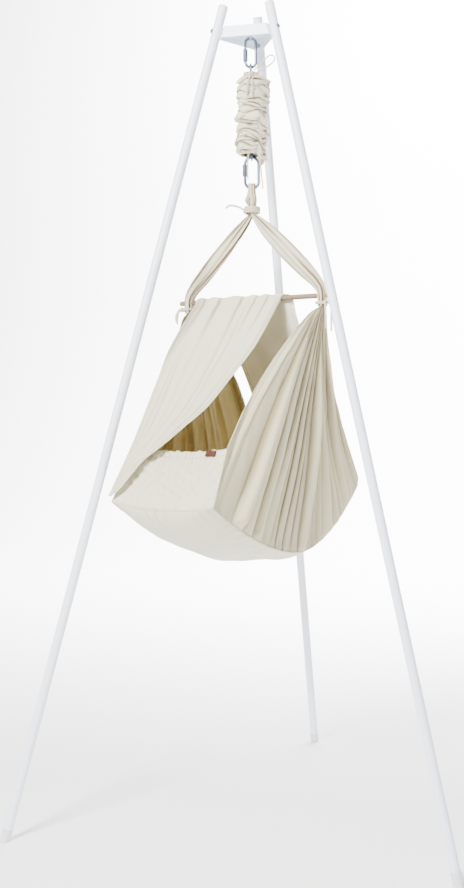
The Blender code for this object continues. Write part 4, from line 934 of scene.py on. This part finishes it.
def build_sling():
    """One long gathered cloth from bar end to bar end, over the lower link."""
    bend_radius, wire, _, wire_bottom = LOWER_LINK[:4]
    loop_radius = wire + PLAY + LOOP_HALF_DEPTH
    way, away = heading(HANGER_TURN - CRADLE_TURN)

    def rise(side, z, shift):
        share = smooth((z - 1.505) / 0.029)
        return (away * side * loop_radius + way * shift + UP * z, way, away * -side,
                RISE_HALF_WIDTH + (LOOP_HALF_WIDTH - RISE_HALF_WIDTH) * share,
                RISE_HALF_DEPTH + (LOOP_HALF_DEPTH - RISE_HALF_DEPTH) * share, 0)

    stations = strap_stations(1) + [rise(-1, 1.519, 0.004), rise(-1, 1.534, 0.001)]
    for a in linspace(0, pi, 9):
        out = away * -cos(a) + UP * sin(a)
        stations.append((out * loop_radius + UP * wire_bottom, way, -out, LOOP_HALF_WIDTH,
                         LOOP_HALF_DEPTH, 1))
    stations += [rise(1, 1.534, -0.0035), rise(1, 1.519, -0.0095)]
    stations += strap_stations(-1)[::-1]
    rows, around, cuts = 420, 120, 11
    run = lengths(array([s[0] for s in stations]))
    want = linspace(0, run[-1], rows)
    fields = []
    for values in zip(*stations):
        values = array([np.atleast_1d(value) for value in values], dtype=float)
        fields.append(stack([hermite(run, part, want) for part in values.T], axis=1))
    centre, wide, deep, half_width, half_depth, bend = fields
    wide /= np.linalg.norm(wide, axis=1)[:, None]
    deep /= np.linalg.norm(deep, axis=1)[:, None]
    theta = linspace(0, tau, around, endpoint=False)[None, :]
    s = want[:, None]
    # lengthwise folds: a gathered cloth's edge wanders in and out of the bundle's outline
    draw = np.random.default_rng(63).uniform
    cut = 0
    for k in range(cuts):
        place = tau * (k + draw(-0.3, 0.3)) / cuts
        place = place + 0.22 * sin(s * draw(6, 18) + draw(0, 6))
        cut_width = draw(0.13, 0.3)
        size = draw(0.35, 0.85) * (0.62 + 0.38 * sin(s * draw(8, 25) + draw(0, 6)))
        off = (theta - place + pi) % tau - pi
        cut = maximum(cut, size * exp(-np.abs(off / cut_width) ** 1.3))
    swell = 0.05 * sin(3 * theta + 14 * s) + 0.04 * sin(5 * theta - 21 * s + 1)
    radius = (1.06 + swell) * (1 - cut * (1 - 0.5 * bend)) * (1 - 0.06 * bend)
    x = half_width * radius * cos(theta)
    y = half_depth * radius * sin(theta)
    points = (centre[:, None, :] + wide[:, None, :] * x[..., None]
              + deep[:, None, :] * y[..., None])
    inner_bend = bend_radius - wire
    across = clip(np.abs((points * way).sum(axis=2)), 0, inner_bend * 0.9)
    points[..., 2] += bend * (inner_bend - sqrt(inner_bend ** 2 - across ** 2))
    # painted shade: the mask darkens the cloth where the lengthwise folds cut into the bundle
    obj = piece("sling_cloth", in_cradle(points), grid_faces(rows, around, around=True), [STRAP],
                grid(theta * 0.02, s), crease=unit(cut / 0.3))
    first = arange(around)
    outward(obj, (first[::-1].tolist(), (first + (rows - 1) * around).tolist()))
    attach(obj, "cradle", "sling")


WINDING = 0.0022


def winding(name, centre, x_radius, y_radius, turns, rise, knot_degrees):
    """A cotton cord wound round a bundle, with its knot on one side."""
    knot_at = radians(knot_degrees)
    out, side = heading(knot_at)
    steps = 40 * turns
    a = linspace(0, tau * turns, steps + 1) + knot_at
    wobble = 1 + 0.02 * sin(3 * a) + 0.015 * sin(7.3 * a)
    line = ring(a, (x_radius + WINDING) * wobble, (y_radius + WINDING) * wobble,
                linspace(rise / 2, -rise / 2, steps + 1))
    tube(name + "_winding", in_cradle(line + centre), WINDING, CORD, "cradle", name)
    t = linspace(0, tau, 49)[:-1, None]
    middle = out * (x_radius + 1.9 * WINDING, y_radius + 1.9 * WINDING, 0) + centre
    wrap = middle + WINDING * (out * 1.1 * sin(2 * t) + side * 1.5 * sin(t)
                               + UP * 1.7 * cos(t))
    tube(name + "_knot", in_cradle(wrap), WINDING * 0.95, CORD, "cradle", name, cyclic=True,
         replaces=False)


def build_ties():
    winding("top_tie", (0, 0, 1.4955), 0.015, 0.0142, 4, 0.014, 200)
    winding("bar_tie_right", (TIE_PLACE, 0, 1.272), 0.014, 0.0106, 2, 0.0046, -35)
    winding("bar_tie_left", (-TIE_PLACE, 0, 1.272), 0.014, 0.0106, 2, 0.0046, 215)


# ---- spring, cover, links

COVER_TOP = 1.8075
COVER_BOTTOM = 1.6215
COVER_RADIUS = 0.0345
COVER_MOUTH = 0.0136
COVER_HEM = 0.0275
SLEEVE_LENGTH = 0.0265
SPRING_WIRE = 0.0025


def stretch(obj):
    """Bakes a piece's placement into its mesh; the spring's top and foot are worked out but not
    used.
    """
    tuple(in_hanger((0, 0, 1.795)))
    tuple(in_hanger((0, 0, 1.63)))
    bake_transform(obj)


def build_cover():
    """A ruched cotton sleeve: its length is gathered into uneven folds that run round it."""
    rows, cols = 330, 150
    angle = linspace(0, tau, cols, endpoint=False)[None, :]
    turn = angle / tau
    face = cos(angle)
    b = column(rows)
    low = COVER_BOTTOM - 0.02 * smooth((face - 0.45) / 0.4)
    mouth = smooth(b / 0.09)
    hem = smooth((1 - b) / 0.07)
    radius = COVER_MOUTH + (COVER_RADIUS - COVER_MOUTH) * mouth
    radius = COVER_HEM + (radius - COVER_HEM) * hem
    marks = [0] + partition(np.random.default_rng(107).uniform, 0.035, 0.97, 0.032, 0.105) + [1]
    moved, heights, strengths = [], [], []
    gap_before = 0
    for i, (mark, gap, free) in enumerate(with_gaps(marks)):
        around = Ripple(200 + i, (1, 0), (4.4, 0.1), count=4, whole=True)(turn, 0)
        moved.append(mark + 0.3 * min(gap, gap_before) * around * free)
        size = Ripple(300 + i, (1, 0), (3.4, 0.1), count=3, whole=True)(turn, 0)
        heights.append((0.0032 + 0.04 * gap) * clip(1 + 0.45 * size, 0.15, 1.7))
        strengths.append(clip(0.75 + 0.45 * size, 0.1, 1))
        gap_before = gap
    slope = Ripple(101, (1, 0.3), (2.4, 0.9), whole=True)(turn, b)
    ridge, valley = ridges(b + 0.01 * slope, moved, heights, 0.0105, strengths, 0.62)
    crumple = Ripple(104, (3, 6), (11, 26), count=14, whole=True)(turn, b)
    pinch = Ripple(105, (2, 3), (6.4, 9), count=8, whole=True)(turn, b)
    pinch = clip(pinch - 0.9, 0, 1.2)
    body = mouth * hem
    radius = radius + (ridge - 0.0042 + 0.0007 * crumple - 0.0026 * pinch) * body
    radius = radius + 0.004 * bell(b, 0.12, 0.06) * smooth(face)
    radius = radius + 0.0045 * bell(b, 0.86, 0.07) * smooth(-face)
    gather = sin(13 * angle + 1.2 * sin(3 * angle))
    radius = radius * (1 + gather * (0.07 * fade(b, 0.05) + 0.045 * fade(1 - b, 0.035)))
    lean = 0.006 * (1 - smooth(b * 1.3)) * mouth
    points = ring(angle, radius, radius, COVER_TOP + (low - COVER_TOP) * b - 0.5 * ridge * body)
    points[..., 0] += lean
    # painted shade: the mask darkens the fold valleys, the pinched hollows and the gathers at the
    # mouth and at the hem
    crease = unit(valley + 0.35 * pinch) * body * 0.9
    crease = crease + 0.5 * unit(-gather) * (fade(b, 0.04) + fade(1 - b, 0.03))
    obj = piece("spring_cover_cloth", in_hanger(points),
                grid_faces(rows + 1, cols, around=True)[:, ::-1], [SLEEVE],
                grid(angle * COVER_RADIUS, b * 0.36), crease=unit(crease))
    modify(obj, "SOLIDIFY", thickness=0.0014, offset=-1)
    attach(obj, None, "spring_cover")
    stretch(obj)


def build_knot():
    """The bow's knot on the cover's drawstring, and the string where it gathers the mouth."""
    def loop(name, line, radius, replaces=False):
        tube(name, in_hanger(line[:-1]), radius, CORD, "spring_unit", "cover_cord_knot",
             cyclic=True, replaces=replaces)

    t = linspace(0, tau, 61)
    middle = array([0.0035, -0.0352, 1.7985])
    loop("cover_knot_loop", middle + grid(0.0044 * sin(t), -0.0021 * sin(2 * t),
                                          0.0034 * cos(t)), CORD_RADIUS, replaces=True)
    loop("cover_knot_wrap", middle + grid(0.0016 * sin(t + 0.6), -0.0034 * cos(t),
                                          0.0042 * sin(t)), 0.0016)
    a = radians(linspace(-100, 260, 80))
    loop("cover_drawstring", ring(a, 0.0172, 0.0172, 1.8052) + (0.0006, 0, 0), 0.0014)


def hex_sleeve(name, centre, low, high, bore, outer):
    """A screwed sleeve: six flats, chamfered ends and an open bore."""
    count, chamfer = 72, 0.0011
    a = linspace(0, tau, count, endpoint=False)
    flat = outer * cos(pi / 6)
    wedge = (a + pi / 6) % (pi / 3) - pi / 6
    hexagon = minimum(flat / cos(wedge), outer * 0.985)
    rings = [(bore, low), (flat * 0.93, low), (hexagon, low + chamfer), (hexagon, high - chamfer),
             (flat * 0.93, high), (bore, high), (bore, low)]
    points = array([ring(a, r, r, z) for r, z in rings]) + (centre, 0, 0)
    last = len(rings) - 1
    # the last row of faces joins back to the first ring, and is the bore's wall
    faces = grid_faces(last + 1, count, around=True) % (last * count)
    obj = piece(name + "_sleeve_hex", in_hanger(points[:last]), faces, [ZINC])
    outward(obj)
    obj.data.set_sharp_from_angle(angle=radians(24))
    attach(obj, name + "_sleeve", name + "_link_sleeve")


def build_links():
    """The two quick links: each a bent wire with a gap, and the sleeve that closes it."""
    for name, (bend, wire, top, bottom, foot, outer, gap) in (("upper", UPPER_LINK),
                                                              ("lower", LOWER_LINK)):
        t = linspace(0, pi, 41)
        line = vstack([(-bend, 0, foot + gap + 0.008),
                          grid(-bend * cos(t), 0, top - bend + bend * sin(t)),
                          grid(bend * cos(t), 0, bottom + bend - bend * sin(t)),
                          (-bend, 0, foot + gap)])
        tube(name + "_link_wire", in_hanger(line), wire, ZINC, name + "_link", name + "_link", 6)
        hex_sleeve(name, -bend, foot, foot + SLEEVE_LENGTH, wire + PLAY, outer)


def build_spring():
    """The spring and its slack safety cord, seen from below and above the cover."""
    radius, hook, turns = 0.017, 0.0115, 21
    top, bottom = 1.789, 1.65
    top_centre = UPPER_LINK[3] + UPPER_LINK[1] + PLAY + SPRING_WIRE - hook
    low_centre = LOWER_LINK[2] - LOWER_LINK[1] - PLAY - SPRING_WIRE + hook

    def hook_line(centre, start, stop):
        a = radians(linspace(start, stop, 40))
        return grid(0, hook * cos(a), centre + hook * sin(a))

    def bridge(end, z, sign):
        """From a hook's end to the coil."""
        return spline([end, (0, 0, z + sign * 0.01), (0, radius * 0.75, z + sign * 0.004),
                       (0, radius, z)], 8)

    first = hook_line(top_centre, -40, 235)
    last = hook_line(low_centre, 125, 400)
    a = pi / 2 + linspace(0, tau * turns, 32 * turns + 1)
    coil = ring(a, radius, radius, linspace(top, bottom, len(a)))
    line = vstack([first, bridge(first[-1], top, 1)[1:-1], coil,
                      bridge(last[0], bottom, -1)[-2:0:-1], last])
    stretch(tube("spring_wire", in_hanger(line), SPRING_WIRE, ZINC, None, "spring", 3))
    share = linspace(0, 1, 120)
    reach = 0.008 * sqrt(unit(minimum(6 * share, 6 * (1 - share))))
    slack = ring(tau * 3.5 * share, reach, reach, 1.7936 + (1.6454 - 1.7936) * share)
    stretch(tube("safety_cord_braid", in_hanger(slack), SPRING_WIRE, CORD, None, "safety_cord", 3))


# ---- mattress and tag

def places(mesh):
    """A mesh's points as an array."""
    co = zeros(len(mesh.vertices) * 3)
    mesh.vertices.foreach_get("co", co)
    return co.reshape(-1, 3)


def build_mattress():
    """A soft pad: its cover swells under a little pressure between its seams."""
    obj = link("mattress_pad", baked(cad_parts["mattress"]))
    modify(obj, "REMESH", mode="VOXEL", voxel_size=0.006)
    modify(obj, "SMOOTH", factor=0.5, iterations=6)
    mesh = baked(obj)
    obj.modifiers.clear()
    obj.data = mesh
    rest = places(mesh)
    settings = settle(modify(obj, "CLOTH").settings, use_pressure=True,
                      uniform_pressure_force=3, quality=5, tension_stiffness=12,
                      bending_stiffness=0.3)
    settings.effector_weights.gravity = 0
    scene = bpy.context.scene
    for step in range(1, 21):
        scene.frame_set(step)
    swollen = baked(obj)
    obj.modifiers.clear()
    obj.data = swollen
    scene.frame_set(1)
    move = places(swollen) - rest
    size = np.linalg.norm(move, axis=1)
    move *= minimum(1, 0.004 / maximum(size, 1e-9))[:, None]
    # the pad keeps to its own side of the cloth that it lies on
    move[:, 2] = np.where(move[:, 2] < 0, move[:, 2] * 0.25, move[:, 2])
    swollen.vertices.foreach_set("co", (rest + move).ravel())
    swollen.update()
    obj.data.materials.clear()
    obj.data.materials.append(PAD)
    obj.data.shade_smooth()
    modify(obj, "SUBSURF", levels=1, render_levels=1)
    attach(obj, "cradle", "mattress")


def build_tag():
    """A bare leather tag, a little bowed."""
    cols, rows = 28, 16
    u, h = row(cols) - 0.5, column(rows) - 0.5
    middle = array(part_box("leather_tag")).mean(axis=0)
    right, back = heading(CRADLE_TURN)
    lean = radians(31)
    up = back * sin(lean) + UP * cos(lean)
    out = UP * sin(lean) - back * cos(lean)
    bow = 0.0011 * (1 - 4 * u * u) - 0.0006 * (h + 0.5) ** 2 + 0.0002
    corner = 1 - 0.04 * (2 * np.abs(h)) ** 6
    points = (middle + right * (0.029 * u * corner)[..., None] + up * (0.0148 * h)[..., None]
              + out * bow[..., None])
    obj = piece("leather_tag_skin", points, grid_faces(rows + 1, cols + 1), [LEATHER])
    modify(obj, "SOLIDIFY", thickness=0.0013, offset=0)
    modify(obj, "BEVEL", width=0.0003, segments=2, limit_method="ANGLE")
    attach(obj, "cradle", "leather_tag")


# ---- seams

def seam_line(name, line):
    """A corded seam where two cloths are sewn together."""
    tube("seam_" + name, in_cradle(line), 0.0011, STRAP, "cradle", "base_sling", 3, replaces=False)


def build_seams():
    ends = (("near", True, 0, -SEAM_OFF), ("far", False, 1, SEAM_OFF))
    for name, _, length, off in ends:
        seam_line(name, base_surface(linspace(0, 1, 120), length) + (0, off, 0))
    v = linspace(NEAR_END, FAR_END, 200)
    for side, name in ((1, "right"), (-1, "left")):
        seam_line(name, grid(side * (BASE_HALF_WIDTH + SEAM_OFF), v,
                             seam_height(v) - 0.0008 + 0.0005 * sin(140 * v)))
        for end, near, _, off in ends:
            top, bottom = wall_corner(side, near)
            line = bottom + (top - bottom) * column(29) + (side * SEAM_OFF, off, 0)
            seam_line(name + "_" + end, line)


# ---- hard parts

HARD_LOOKS = ((PAINT, ("leg_upper", "leg_lower", "top_plate")), (CAP, "foot_cap"),
              (PLUG, "top_plug"), (WOOD, "spreader_bar"),
              (BRIGHT, ("eye_", "leg_bolt", "leg_nut", "leg_spigot")))


def dress_hard_parts():
    """Better materials on the frame's own metal, plastic and wood."""
    for name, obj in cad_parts.items():
        for mat, starts in HARD_LOOKS:
            if name.startswith(starts):
                obj.data.materials.clear()
                obj.data.materials.append(mat)
                obj.data.shade_smooth()
                obj.data.set_sharp_from_angle(angle=radians(32))


# ---- studio

FLOOR_HALF_WIDTH = 6.5
SUBJECT = (0, -0.1, 1)
STUDIO_LIGHTS = (
    # name, place, aim, size, watts
    ("key", (-0.9, -3.2, 3), SUBJECT, 1, 500),
    ("fill", (3, -2.4, 1.4), SUBJECT, 2.4, 20),
    ("sweep", (0, 3, 4.6), (0, 7, 2), 4, 3600),
    ("back", (1.8, 3, 2.6), SUBJECT, 2, 110),
    ("top", (0, 0, 6), (0, 0, 0), 9, 330))


def build_floor():
    """A white sweep, rounded in front, that rises behind the stand."""
    front = linspace(0.02, pi / 2, 24)
    rise = linspace(0, pi / 2, 17)
    depth = concatenate([-4.2 * cos(front), 4 + 3 * sin(rise), [7]])
    height = concatenate([0 * front, 3 - 3 * cos(rise), [9]])
    half = FLOOR_HALF_WIDTH * concatenate([sin(front), ones(18)])
    rows = stack([grid(side * half, depth, height) for side in (-1, 1)], axis=1)
    piece("floor", rows, grid_faces(len(depth), 2), [floor_paint("floor_paint")])


def build_light():
    """Soft light from the front left, and a white world behind what the camera sees."""
    world = bpy.data.worlds.new("studio")
    bpy.context.scene.world = world
    world.use_nodes = True
    nodes = world.node_tree.nodes
    soft, seen = nodes["Background"], nodes.new("ShaderNodeBackground")
    for background, strength in ((soft, 0.38), (seen, 3.6)):
        background.inputs["Color"].default_value = (1, 1, 1, 1)
        background.inputs["Strength"].default_value = strength
    both = nodes.new("ShaderNodeMixShader")
    feed(both.inputs[0], nodes.new("ShaderNodeLightPath").outputs["Is Camera Ray"])
    feed(both.inputs[1], soft.outputs[0])
    feed(both.inputs[2], seen.outputs[0])
    feed(nodes["World Output"].inputs["Surface"], both.outputs[0])
    for name, place, aim, size, watts in STUDIO_LIGHTS:
        light = settle(bpy.data.lights.new(name, "AREA"), size=size, energy=watts)
        turn = (Vector(aim) - Vector(place)).to_track_quat("-Z", "Y").to_euler()
        settle(link(name, light), visible_camera=False, location=place, rotation_euler=turn)


build_free_cords()
side_panel(1, "side_panel_right")
side_panel(-1, "side_panel_left")
build_base()
end_wall(True, "end_wall_near")
end_wall(False, "end_wall_far")
build_veil()
build_seams()
build_sling()
build_ties()
build_cover()
build_knot()
build_links()
build_spring()
build_mattress()
build_tag()
dress_hard_parts()
build_floor()
build_light()
